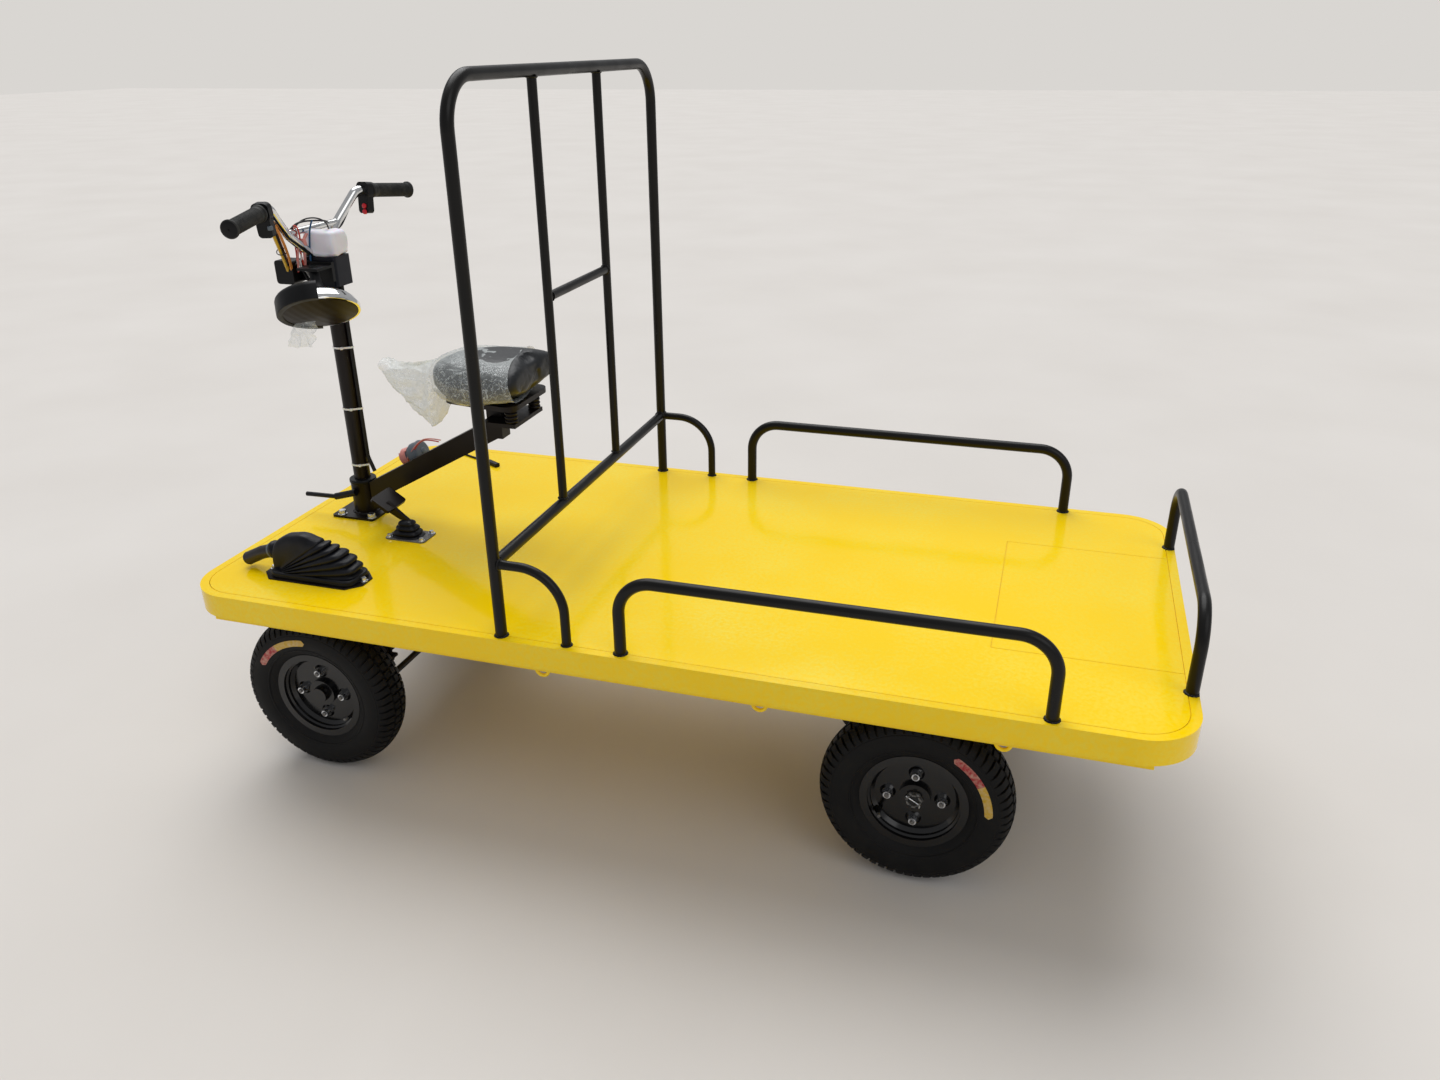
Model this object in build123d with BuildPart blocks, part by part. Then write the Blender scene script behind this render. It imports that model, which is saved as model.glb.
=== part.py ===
from build123d import *
from math import cos, pi, radians, sin, sqrt, tan
import os

# Electric platform cart: a flat steel deck on four tyred wheels, steered by a
# handlebar column, with a driver's seat, a headboard and three low rails.
# Millimetres, +X forward, +Y to the cart's left, +Z up, ground at Z = 0.

os.makedirs("parts", exist_ok=True)

# Deck
deck_length = 2200.0
deck_width = 1050.0
deck_top = 530.0
skirt_height = 55.0
corner_radius = 115.0
sheet = 3.0
band_width = 20.0
seam = 1.5

# Chassis tubes under the deck
tube_width = 40.0
tube_height = 65.0
cross_width = 40.0
cross_height = 40.0
side_inset = 12.0
end_clearance = 80.0
rear_rail_y = 255.0
front_rail_y = 165.0
rail_change_setback = 520.0
front_row_step = 180.0
cross_spacing = 330.0
end_row_inset = 48.0
hatch_row_inset = 17.0
bearing_length = 80.0
hook_wire = 8.0
hook_radius = 14.0
hook_count = 3
hook_setback = 345.0
hook_spacing = 475.0

# Hatch over the battery
hatch_length = 393.0
hatch_width = 540.0
lid_gap = 1.5

# Battery and its tray
battery_length = 300.0
battery_width = 400.0
battery_height = 168.0
battery_corner = 6.0
battery_stands_out = 28.0
tray_wall = 3.0
tray_clearance = 5.0

# Bent tube of the headboard and the rails
tube = 25.0
bar = 20.0
post_inset = 22.0
headboard_setback = 815.0
headboard_height = 1100.0
headboard_bend = 90.0
headboard_low = 167.0
headboard_rung = 642.0
upright_spacing = 325.0
brace_reach = 150.0
brace_bend = 95.0
rail_height = 180.0
rail_bend = 75.0
side_rail_gap = 120.0
side_rail_rear_inset = 265.0
rear_rail_width = 676.0
rear_rail_inset = 13.0
seat_gap = 0.3

# Wheels
tyre_radius = 207.5
tyre_width = 107.0
tread_drop = 10.0
shoulder_depth = 15.0
sidewall_depth = 55.0
rim_radius = 101.5
rim_lip = 13.5
rim_width = 76.0
rim_wall = 3.0
bead_gap = 1.0
bead_heel_rise = 8.0
bead_heel_out = 4.0
rim_ledge_radius = 94.0
rim_ledge_depth = 8.0
rim_ledge_width = 10.0
disc_radius = 86.0
wheel_y = 362.0
front_axle_setback = 227.0
rear_axle_setback = 512.0
stud_circle = 57.5
stud_count = 4
nut_radius = 9.0
nut_height = 16.0
nut_seat_radius = 17.0
nut_seat_height = 5.0
nut_seat_taper = 45.0
disc = 5.0
disc_offset = 8.0
hub_radius = 34.0
hub_inner = 26.0
hub_outer = 24.0
shaft_radius = 12.0
shaft_stands_out = 8.0
running_gap = 0.1
cap_radius = 21.0
cap_height = 13.0
cap_taper = 8.0
cap_room = 1.0
castle_nut_radius = 19.0
castle_nut_height = 6.0
drum_radius = 76.0
drum_wall = 8.0
drum_gap = 2.0
backing_radius = 80.0
backing_sheet = 4.0

# Front axle and steering
axle_tube = 50.0
kingpin_y = 285.0
kingpin_radius = 8.0
eye_radius = 22.0
eye_height = 60.0
lug = 12.0
lug_gap = 0.5
web_gap = 2.0
arm_length = 100.0
arm_width = 24.0
rod_radius = 8.0
rod_eye_radius = 13.0
rod_eye_height = 18.0
stud_radius = 5.0
stud_stands_out = 3.0
tie_rod_z = 188.0
link_lift = 34.0
link_drop = 16.0

# Springs
spring_span = 190.0
spring_rise = 65.0
leaf = 6.0
leaf_width = 44.0
leaf_shares = [1.0, 0.84, 0.66, 0.48, 0.30]
spring_seat = 4.0
spring_seat_margin = 10.0
spring_eye = 12.0
spring_pin = 6.0
pin_stands_out = 7.0
hanger = 6.0
hanger_gap = 0.5
hanger_length = 34.0
clamp_bolt = 5.0
clamp_bend = 8.0
clamp_gap = 2.0
clamp_plate = 8.0
clamp_nut_radius = 9.0
clamp_nut_height = 8.0
clamp_thread = 5.0

# Rear axle and its drive
axle_housing = 30.0
gear_radius = 78.0
gear_width = 95.0
case_width = 37.5
motor_radius = 72.0
motor_gap = 2.0
# Each stage of the motor from its flange on: radius, length
motor_stages = [(72.0, 14.0), (68.0, 112.0), (62.0, 34.0), (32.0, 10.0)]

# Column and handlebar
column_setback = 157.0
column_radius = 21.0
column_height = 675.0
column_drop = 208.0
column_hole_gap = 4.0
housing_radius = 32.5
housing_height = 92.0
base_length = 125.0
base_width = 135.0
base_sheet = 6.0
base_shift = (9.0, -10.0)
base_corner = 8.0
pitman = 10.0
pitman_hub = 30.0
head_length = 86.0
head_width = 66.0
head_height = 70.0
head_corner = 8.0
head_lead = 3.0
grip_setback = 24.0
grip_rise = 112.0
grip_end_y = 341.0
grip_length = 138.0
grip_radius = 16.0
grip_flange = 19.0
grip_flange_length = 8.0
grip_wall_end = 4.0
bar_radius = 11.0
crossbar_radius = 8.0
crossbar_lead = 31.0
crossbar_rise = 63.0
crossbar_y = 99.0
bend_y = 166.0
bend_rise = 130.0
bend_setback = 19.0
riser_setback = 4.0
clamp_y = 34.0
bar_bends = [14.0, 60.0, 28.0]

# Seat
seat_arm_width = 40.0
seat_arm_height = 50.0
seat_arm_slope = 28.8
seat_arm_reach = 437.0
seat_arm_kink = 417.0
seat_arm_rise = 277.0
seat_setback = 413.0
seat_length = 250.0
seat_width = 300.0
seat_height = 362.0
seat_thickness = 100.0
saddle_taper = 80.0
saddle_corner = 60.0
saddle_crown = 35.0
pan_sheet = 12.0
pan_inset = 45.0
pan_corner = 30.0

# Values worked out from the sizes above
half_length = deck_length / 2
half_width = deck_width / 2
hatch_front_x = hatch_length - half_length
rail_change_x = half_length - rail_change_setback
headboard_x = half_length - headboard_setback
front_axle_x = half_length - front_axle_setback
rear_axle_x = rear_axle_setback - half_length
column_x = half_length - column_setback
column_top = deck_top + column_height
column_bottom = deck_top - column_drop
frame_top = deck_top - sheet
frame_bottom = frame_top - tube_height
cross_bottom = frame_top - cross_height
wheel_z = tyre_radius
bottom_up = (Align.CENTER, Align.CENTER, Align.MIN)
top_down = (Align.CENTER, Align.CENTER, Align.MAX)


def save(part, name):
    part.label = name
    export_step(part, f"parts/{name}.step")


def round_bar(start, end, radius):
    """A round bar between two points."""
    run = Vector(*end) - Vector(*start)
    with BuildPart() as piece:
        with BuildSketch(Plane(origin=start, z_dir=run)):
            Circle(radius)
        extrude(amount=run.length)
    return piece.part


def bent_tube(points, bends, radius):
    """A round tube along straight runs that are joined by bends."""
    with BuildPart() as piece:
        with BuildLine() as route:
            FilletPolyline(*points, radius=bends)
        for run in route.edges():
            with BuildSketch(Plane(origin=run @ 0, z_dir=run % 0)):
                Circle(radius)
            if run.geom_type == GeomType.LINE:
                extrude(amount=run.length)
            else:
                sweep(path=run)
    return piece.part


# Deck edge: a skirt with a flat band turned in on top
with BuildPart() as deck_frame:
    with BuildSketch(Plane.XY.offset(deck_top - skirt_height)):
        RectangleRounded(deck_length, deck_width, corner_radius)
    extrude(amount=skirt_height)
    with BuildSketch(Plane.XY.offset(deck_top - skirt_height)):
        RectangleRounded(deck_length - 2 * sheet, deck_width - 2 * sheet, corner_radius - sheet)
    extrude(amount=skirt_height - sheet, mode=Mode.SUBTRACT)
    with BuildSketch(Plane.XY.offset(deck_top)):
        RectangleRounded(
            deck_length - 2 * band_width, deck_width - 2 * band_width, corner_radius - band_width
        )
    extrude(amount=-sheet, mode=Mode.SUBTRACT)
save(deck_frame.part, "deck_frame")

# Deck sheet inside the band, with the hatch notch and the column's hole
plate_inset = band_width + seam
hatch_rear_x = -half_length + plate_inset
with BuildPart() as deck_plate:
    with BuildSketch(Plane.XY.offset(frame_top)):
        RectangleRounded(
            deck_length - 2 * plate_inset, deck_width - 2 * plate_inset, corner_radius - plate_inset
        )
        with Locations((hatch_front_x, 0)):
            Rectangle(half_length, hatch_width, align=(Align.MAX, Align.CENTER), mode=Mode.SUBTRACT)
        with Locations((column_x, 0)):
            Circle(column_radius + column_hole_gap, mode=Mode.SUBTRACT)
    extrude(amount=sheet)
save(deck_plate.part, "deck_plate")

# Hatch lid, hinged along its front edge
lid_length = hatch_front_x - hatch_rear_x - lid_gap
with BuildPart() as hatch_lid:
    with BuildSketch(Plane.XY.offset(frame_top)):
        with Locations((hatch_front_x - lid_gap, 0)):
            Rectangle(lid_length, hatch_width - 2 * lid_gap, align=(Align.MAX, Align.CENTER))
    extrude(amount=sheet)
save(hatch_lid.part, "hatch_lid")

# Chassis side tubes with the rope hooks: half rings of wire under each tube
side_y = half_width - side_inset - tube_width / 2
side_length = deck_length - 2 * end_clearance
hook_y = side_y + tube_width / 2 - hook_wire
with BuildPart() as side_tubes:
    with Locations((0, side_y, frame_bottom), (0, -side_y, frame_bottom)):
        Box(side_length, tube_width, tube_height, align=bottom_up)
    for sign in (1, -1):
        for hook in range(hook_count):
            hook_x = hook_setback - half_length + hook * hook_spacing
            with BuildLine(Plane.XZ.offset(-sign * hook_y)):
                CenterArc((hook_x, frame_bottom), hook_radius, 180, 180)
            with BuildSketch(Plane.XY.offset(frame_bottom)):
                with Locations((hook_x - hook_radius, sign * hook_y)):
                    Circle(hook_wire / 2)
            sweep()
save(side_tubes.part, "side_tubes")

# End beams and the long rails between them, spaced wider over the rear springs
beam_x = half_length - side_inset - tube_width / 2
beam_length = deck_width - 2 * end_clearance
with BuildPart() as end_beams:
    with Locations((beam_x, 0, frame_bottom), (-beam_x, 0, frame_bottom)):
        Box(tube_width, beam_length, tube_height, align=bottom_up)
save(end_beams.part, "end_beams")

# Each pair of rails: its half spacing and its ends along the cart
inner_beam_x = beam_x - tube_width / 2
rail_pairs = [
    (rear_rail_y, -inner_beam_x, rail_change_x - cross_width / 2),
    (front_rail_y, rail_change_x + cross_width / 2, inner_beam_x),
]
with BuildPart() as long_rails:
    for pair_y, low_x, high_x in rail_pairs:
        middle_x = (low_x + high_x) / 2
        with Locations((middle_x, pair_y, frame_bottom), (middle_x, -pair_y, frame_bottom)):
            Box(high_x - low_x, tube_width, tube_height, align=bottom_up)
save(long_rails.part, "long_rails")

# Cross tubes: place along the cart, the rail pair they meet, and whether they run between the rails
inner_side_y = side_y - tube_width / 2
end_row_x = inner_beam_x - end_row_inset
hatch_row_x = hatch_front_x + hatch_row_inset
cross_rows = [
    (end_row_x, front_rail_y, False),
    (rail_change_x + front_row_step, front_rail_y, True),
    (cross_spacing, rear_rail_y, True),
    (0.0, rear_rail_y, True),
    (-cross_spacing, rear_rail_y, True),
    (hatch_row_x, rear_rail_y, True),
    (-end_row_x, rear_rail_y, False),
]
with BuildPart() as cross_tubes:
    with Locations((rail_change_x, 0, frame_bottom)):
        Box(cross_width, 2 * inner_side_y, tube_height, align=bottom_up)
    for row_x, row_y, between in cross_rows:
        outer_span = inner_side_y - row_y - tube_width / 2
        outer_y = row_y + tube_width / 2 + outer_span / 2
        with Locations((row_x, outer_y, cross_bottom), (row_x, -outer_y, cross_bottom)):
            Box(cross_width, outer_span, cross_height, align=bottom_up)
        if between:
            with Locations((row_x, 0, cross_bottom)):
                Box(cross_width, 2 * row_y - tube_width, cross_height, align=bottom_up)
    # Lower bearing of the column, between the front rails
    with Locations((column_x, 0, cross_bottom)):
        Box(bearing_length, 2 * front_rail_y - tube_width, cross_height, align=bottom_up)
        Cylinder(column_radius + running_gap, cross_height, align=bottom_up, mode=Mode.SUBTRACT)
save(cross_tubes.part, "cross_tubes")

# Battery tray hung between the rear rails by its lips
tray_width = battery_width + 2 * (tray_clearance + tray_wall)
tray_length = battery_length + 2 * (tray_clearance + tray_wall)
tray_x = -inner_beam_x + tray_clearance + tray_length / 2
tray_bottom = cross_bottom + battery_stands_out - battery_height
with BuildPart() as battery_tray:
    with Locations((tray_x, 0, tray_bottom)):
        Box(tray_length, tray_width, cross_bottom - tray_bottom, align=bottom_up)
    offset(amount=-tray_wall, openings=battery_tray.faces().sort_by(Axis.Z)[-1])
    with BuildSketch(Plane.XY.offset(cross_bottom - tray_wall)):
        with Locations((tray_x, 0)):
            Rectangle(tray_length, 2 * rear_rail_y - tube_width)
            Rectangle(tray_length - 2 * tray_wall, tray_width - 2 * tray_wall, mode=Mode.SUBTRACT)
    extrude(amount=tray_wall)
save(battery_tray.part, "battery_tray")

# Battery block
with BuildPart() as battery:
    with Locations((tray_x, 0, tray_bottom + tray_wall)):
        Box(battery_length, battery_width, battery_height, align=bottom_up)
    fillet(battery.edges().filter_by(Axis.Z), battery_corner)
save(battery.part, "battery")

# Headboard hoop
post_y = half_width - post_inset
hoop_top = deck_top + headboard_height - tube / 2
hoop_points = [
    (headboard_x, post_y, deck_top), (headboard_x, post_y, hoop_top),
    (headboard_x, -post_y, hoop_top), (headboard_x, -post_y, deck_top),
]
save(bent_tube(hoop_points, headboard_bend, tube / 2), "headboard_hoop")

# Bars inside the hoop: the low bar, two uprights and the rung between them
low_bar_z = deck_top + headboard_low
rung_z = deck_top + headboard_rung
low_bar_y = post_y - tube / 2 - seat_gap
with BuildPart() as headboard_bars:
    with BuildSketch(Plane.XZ.offset(-low_bar_y)):
        with Locations((headboard_x, low_bar_z)):
            Circle(tube / 2)
    extrude(amount=2 * low_bar_y)
    with BuildSketch(Plane.XY.offset(low_bar_z)):
        with Locations((headboard_x, upright_spacing / 2), (headboard_x, -upright_spacing / 2)):
            Circle(bar / 2)
    extrude(amount=hoop_top - tube / 2 - seat_gap - low_bar_z)
    with BuildSketch(Plane.XZ.offset(-upright_spacing / 2)):
        with Locations((headboard_x, rung_z)):
            Circle(bar / 2)
    extrude(amount=upright_spacing)
save(headboard_bars.part, "headboard_bars")

# Braces that run back from the posts and turn down to the deck
brace_start_x = headboard_x - tube / 2 - seat_gap
brace_foot_x = headboard_x - brace_reach
braces = [
    bent_tube(
        [
            (brace_start_x, sign * post_y, low_bar_z), (brace_foot_x, sign * post_y, low_bar_z),
            (brace_foot_x, sign * post_y, deck_top),
        ],
        brace_bend,
        bar / 2,
    )
    for sign in (1, -1)
]
with BuildPart() as headboard_braces:
    add(braces)
save(headboard_braces.part, "headboard_braces")

# Low rails: one each side and one at the rear
rail_top = deck_top + rail_height - tube / 2
side_rail_front_x = brace_foot_x - side_rail_gap
side_rail_rear_x = side_rail_rear_inset - half_length
for name, sign in (("side_rail_left", 1), ("side_rail_right", -1)):
    rail_points = [
        (side_rail_front_x, sign * post_y, deck_top), (side_rail_front_x, sign * post_y, rail_top),
        (side_rail_rear_x, sign * post_y, rail_top), (side_rail_rear_x, sign * post_y, deck_top),
    ]
    save(bent_tube(rail_points, rail_bend, tube / 2), name)
rear_rail_x = -half_length + rear_rail_inset
rear_post_y = rear_rail_width / 2
rail_points = [
    (rear_rail_x, rear_post_y, deck_top), (rear_rail_x, rear_post_y, rail_top),
    (rear_rail_x, -rear_post_y, rail_top), (rear_rail_x, -rear_post_y, deck_top),
]
save(bent_tube(rail_points, rail_bend, tube / 2), "rear_rail")

# Wheels: each corner's name, side and axle
corners = [
    ("front_left", 1, front_axle_x),
    ("front_right", -1, front_axle_x),
    ("rear_left", 1, rear_axle_x),
    ("rear_right", -1, rear_axle_x),
]
half_tyre = tyre_width / 2
half_rim = rim_width / 2
lip_radius = rim_radius + rim_lip
barrel_radius = rim_radius - rim_wall
bore_radius = shaft_radius + running_gap
disc_face = disc_offset + disc
ledge_out = half_rim - rim_ledge_depth

# Half of the tyre's section from the bead to the shoulder: radius, distance from the middle
tyre_half = [
    (rim_radius, half_rim - rim_wall - bead_gap),
    (lip_radius + bead_gap, half_rim - rim_wall - bead_gap),
    (lip_radius + bead_heel_rise, half_rim + bead_heel_out),
    (tyre_radius - sidewall_depth, half_tyre),
    (tyre_radius - shoulder_depth, half_tyre - tread_drop),
]
bead, toe, heel, sidewall, shoulder = tyre_half
inner_bead, inner_toe, inner_heel, inner_sidewall, inner_shoulder = [(r, -across) for r, across in tyre_half]

# The rim's section, round from its inner lip: radius, distance outwards from the middle
rim_section = [
    (barrel_radius, -half_rim), (lip_radius, -half_rim), (lip_radius, -half_rim + rim_wall),
    (rim_radius - seat_gap, -half_rim + rim_wall), (rim_radius - seat_gap, half_rim - rim_wall),
    (lip_radius, half_rim - rim_wall), (lip_radius, half_rim), (barrel_radius, half_rim),
    (barrel_radius, ledge_out), (rim_ledge_radius, ledge_out - rim_wall),
    (rim_ledge_radius, ledge_out - rim_ledge_width), (disc_radius, disc_face), (hub_radius, disc_face),
    (hub_radius, hub_outer), (bore_radius, hub_outer), (bore_radius, -hub_inner),
    (hub_radius, -hub_inner), (hub_radius, disc_offset), (barrel_radius, disc_offset),
]
for name, side, axle_x in corners:
    hub_plane = Plane(origin=(axle_x, side * wheel_y, wheel_z), x_dir=(1, 0, 0), z_dir=(0, side, 0))
    section = Plane(origin=hub_plane.origin, x_dir=(1, 0, 0), z_dir=hub_plane.x_dir.cross(hub_plane.z_dir))
    spin = Axis(hub_plane.origin, hub_plane.z_dir)
    with BuildPart() as tyre:
        with BuildSketch(section):
            with BuildLine():
                Polyline(bead, toe, heel)
                ThreePointArc(heel, sidewall, shoulder)
                ThreePointArc(shoulder, (tyre_radius, 0), inner_shoulder)
                ThreePointArc(inner_shoulder, inner_sidewall, inner_heel)
                Polyline(inner_heel, inner_toe, inner_bead, bead)
            make_face()
        revolve(axis=spin)
    save(tyre.part, f"tyre_{name}")

    # Rim: stepped barrel with its lips, wheel disc, hub, and the wheel nuts on their coned seats
    with BuildPart() as rim:
        with BuildSketch(section):
            with BuildLine():
                Polyline(*rim_section, close=True)
            make_face()
        revolve(axis=spin)
        with BuildSketch(hub_plane.offset(disc_face)):
            with PolarLocations(stud_circle, stud_count):
                Circle(nut_seat_radius)
        extrude(amount=nut_seat_height, taper=nut_seat_taper)
        with BuildSketch(hub_plane.offset(disc_face)):
            with PolarLocations(stud_circle, stud_count):
                RegularPolygon(nut_radius, 6)
        extrude(amount=nut_height)
        if axle_x == front_axle_x:
            # Dust cap over the end of the stub shaft
            with BuildSketch(hub_plane.offset(hub_outer)):
                Circle(cap_radius)
            extrude(amount=cap_height, taper=cap_taper)
            with BuildSketch(hub_plane.offset(hub_outer)):
                Circle(bore_radius)
            extrude(amount=shaft_stands_out + cap_room, mode=Mode.SUBTRACT)
        else:
            # Castle nut on the axle shaft and the brake drum behind the disc
            with BuildSketch(hub_plane.offset(hub_outer)):
                RegularPolygon(castle_nut_radius, 6)
                Circle(bore_radius, mode=Mode.SUBTRACT)
            extrude(amount=castle_nut_height)
            with BuildSketch(hub_plane.offset(-hub_inner)):
                Circle(drum_radius)
                Circle(drum_radius - drum_wall, mode=Mode.SUBTRACT)
            extrude(amount=hub_inner + disc_offset)
    save(rim.part, f"rim_{name}")

# Front axle beam with an eye at each end and the spring seats on top
half_axle = axle_tube / 2
seat_length_x = axle_tube + 2 * spring_seat_margin
axle_top = wheel_z + half_axle
with BuildPart() as front_axle:
    with Locations((front_axle_x, 0, wheel_z)):
        Box(axle_tube, 2 * (kingpin_y - eye_radius / 2), axle_tube)
    with Locations((front_axle_x, kingpin_y, wheel_z), (front_axle_x, -kingpin_y, wheel_z)):
        Cylinder(eye_radius, eye_height)
        Cylinder(kingpin_radius + running_gap, eye_height, mode=Mode.SUBTRACT)
    with Locations((front_axle_x, front_rail_y, axle_top), (front_axle_x, -front_rail_y, axle_top)):
        Box(seat_length_x, leaf_width, spring_seat, align=bottom_up)
save(front_axle.part, "front_axle")

# Steering knuckles: a fork round the eye, the kingpin, the stub shaft and the arms
half_eye = eye_height / 2
fork_height = eye_height + 2 * (lug + lug_gap)
web_y = eye_radius + web_gap
stub_end = wheel_y + hub_outer + shaft_stands_out
upper_lug_z = wheel_z + half_eye + lug_gap
lower_lug_z = wheel_z - half_eye - lug_gap - lug
tie_stud = tie_rod_z + rod_eye_height / 2 + stud_stands_out - lower_lug_z - lug
link_rear_z = upper_lug_z + lug + link_lift
link_stud = link_lift + rod_eye_height / 2 + stud_stands_out
for name, side in (("knuckle_left", 1), ("knuckle_right", -1)):
    # Each arm and its stud: the lug it is level with and the stud's height above it
    arms = [(lower_lug_z, tie_stud)]
    if side > 0:
        arms.append((upper_lug_z, link_stud))
    with BuildPart() as knuckle:
        with Locations((front_axle_x, side * kingpin_y, wheel_z)):
            Cylinder(kingpin_radius, fork_height)
        for lug_z in (upper_lug_z, lower_lug_z):
            with BuildSketch(Plane.XY.offset(lug_z)):
                with Locations((front_axle_x, side * kingpin_y)):
                    Circle(eye_radius)
                with Locations((front_axle_x, side * (kingpin_y + (web_y + lug) / 2))):
                    Rectangle(2 * eye_radius, web_y + lug)
            extrude(amount=lug)
        with Locations((front_axle_x, side * (kingpin_y + web_y + lug / 2), wheel_z)):
            Box(2 * eye_radius, lug, fork_height)
        with BuildSketch(Plane.XZ.offset(-side * (kingpin_y + web_y))):
            with Locations((front_axle_x, wheel_z)):
                Circle(shaft_radius)
        extrude(amount=-side * (stub_end - kingpin_y - web_y))
        for arm_z, stud_height in arms:
            with BuildSketch(Plane.XY.offset(arm_z)):
                with Locations((front_axle_x - arm_length / 2, side * kingpin_y)):
                    SlotCenterToCenter(arm_length, arm_width)
            extrude(amount=lug)
            with Locations((front_axle_x - arm_length, side * kingpin_y, arm_z + lug)):
                Cylinder(stud_radius, stud_height, align=bottom_up)
    save(knuckle.part, name)

# Tie rod between the two knuckle arms
arm_x = front_axle_x - arm_length
rod_reach = kingpin_y - rod_eye_radius + web_gap
with BuildPart() as tie_rod:
    with BuildSketch(Plane.XZ.offset(-rod_reach)):
        with Locations((arm_x, tie_rod_z)):
            Circle(rod_radius)
    extrude(amount=2 * rod_reach)
    with Locations((arm_x, kingpin_y, tie_rod_z), (arm_x, -kingpin_y, tie_rod_z)):
        Cylinder(rod_eye_radius, rod_eye_height)
        Cylinder(stud_radius + running_gap, rod_eye_height, mode=Mode.SUBTRACT)
save(tie_rod.part, "tie_rod")

# Drag link from the column's arm to the left knuckle
link_front = (column_x - arm_length, 0.0, column_bottom - link_drop)
link_rear = (arm_x, kingpin_y, link_rear_z)
link_rod = round_bar(link_front, link_rear, rod_radius)
with BuildPart() as drag_link:
    add(link_rod)
    with Locations(link_front, link_rear):
        Cylinder(rod_eye_radius, rod_eye_height)
        Cylinder(stud_radius + running_gap, rod_eye_height, mode=Mode.SUBTRACT)
save(drag_link.part, "drag_link")

# Rear axle: housing, gear housing, shaft, brake backing plates, spring seats and the case to the motor
backing_y = wheel_y - hub_inner - drum_gap - backing_sheet / 2
motor_x = rear_axle_x + gear_radius + motor_radius + motor_gap
with BuildPart() as rear_axle:
    with Locations(Location((rear_axle_x, 0, wheel_z), (90, 0, 0))):
        Cylinder(axle_housing, 2 * backing_y)
        Cylinder(shaft_radius, 2 * stub_end)
        Cylinder(gear_radius, gear_width)
    for sign in (1, -1):
        with Locations(Location((rear_axle_x, sign * backing_y, wheel_z), (90, 0, 0))):
            Cylinder(backing_radius, backing_sheet)
    with BuildSketch(Plane.XZ.offset(-gear_width / 2)):
        with Locations(((rear_axle_x + motor_x) / 2, wheel_z)):
            SlotCenterToCenter(motor_x - rear_axle_x, 2 * motor_radius)
    extrude(amount=-case_width)
    with Locations((rear_axle_x, rear_rail_y, wheel_z), (rear_axle_x, -rear_rail_y, wheel_z)):
        Box(seat_length_x, leaf_width, axle_housing + spring_seat, align=bottom_up)
save(rear_axle.part, "rear_axle")

# Drive motor, flanged on the gear case in front of the axle: flange, body, end bell and bearing cap
stage_start = -gear_width / 2
with BuildPart() as drive_motor:
    for stage_radius, stage_length in motor_stages:
        with BuildSketch(Plane.XZ.offset(stage_start)):
            with Locations((motor_x, wheel_z)):
                Circle(stage_radius)
        extrude(amount=stage_length)
        stage_start += stage_length
save(drive_motor.part, "drive_motor")

# Leaf springs: each set's node, axle, half spacing, half depth of its axle and seat height
spring_sets = [
    ("front_springs", front_axle_x, front_rail_y, half_axle, axle_top + spring_seat),
    ("rear_springs", rear_axle_x, rear_rail_y, axle_housing, wheel_z + axle_housing + spring_seat),
]
leaves = len(leaf_shares) * leaf
spring_radius = (spring_span**2 + spring_rise**2) / (2 * spring_rise)
eye_rise = leaves + spring_rise + leaf / 2
for name, axle_x, spring_y, half_depth, seat_z in spring_sets:
    centre_z = seat_z + spring_radius + leaves
    with BuildPart() as springs:
        for sign in (1, -1):
            for row, share in enumerate(leaf_shares):
                inner = spring_radius + row * leaf
                outer = inner + leaf
                half = share * spring_span
                tip = half * outer / inner
                half_z = centre_z - sqrt(inner**2 - half**2)
                tip_z = centre_z - sqrt(outer**2 - tip**2)
                front_half, rear_half = (axle_x + half, half_z), (axle_x - half, half_z)
                front_tip, rear_tip = (axle_x + tip, tip_z), (axle_x - tip, tip_z)
                with BuildSketch(Plane.XZ.offset(-sign * spring_y + leaf_width / 2)):
                    with BuildLine():
                        ThreePointArc(rear_half, (axle_x, centre_z - inner), front_half)
                        Line(front_half, front_tip)
                        ThreePointArc(front_tip, (axle_x, centre_z - outer), rear_tip)
                        Line(rear_tip, rear_half)
                    make_face()
                extrude(amount=-leaf_width)
            with Locations(
                Location((axle_x - spring_span, sign * spring_y, seat_z + eye_rise), (90, 0, 0)),
                Location((axle_x + spring_span, sign * spring_y, seat_z + eye_rise), (90, 0, 0)),
            ):
                Cylinder(spring_eye, leaf_width)
                Cylinder(spring_pin + running_gap, leaf_width, mode=Mode.SUBTRACT)
    save(springs.part, name)

# Spring hangers: a plate under the rail, a cheek each side of the spring's eye and the pin through both
cheek_drop = spring_eye + hanger
cheek_span = leaf_width + 2 * (hanger + hanger_gap)
with BuildPart() as spring_hangers:
    for name, axle_x, spring_y, half_depth, seat_z in spring_sets:
        eye_z = seat_z + eye_rise
        cheek_low = eye_z - cheek_drop
        for end_x in (axle_x + spring_span, axle_x - spring_span):
            with Locations((end_x, spring_y, cheek_low), (end_x, -spring_y, cheek_low)):
                Box(hanger_length, cheek_span, frame_bottom - cheek_low, align=bottom_up)
                Box(
                    hanger_length, cheek_span - 2 * hanger, frame_bottom - hanger - cheek_low,
                    align=bottom_up, mode=Mode.SUBTRACT,
                )
            for pin_y in (spring_y, -spring_y):
                with Locations(Location((end_x, pin_y, eye_z), (90, 0, 0))):
                    Cylinder(spring_pin, cheek_span + 2 * pin_stands_out)
save(spring_hangers.part, "spring_hangers")

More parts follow.
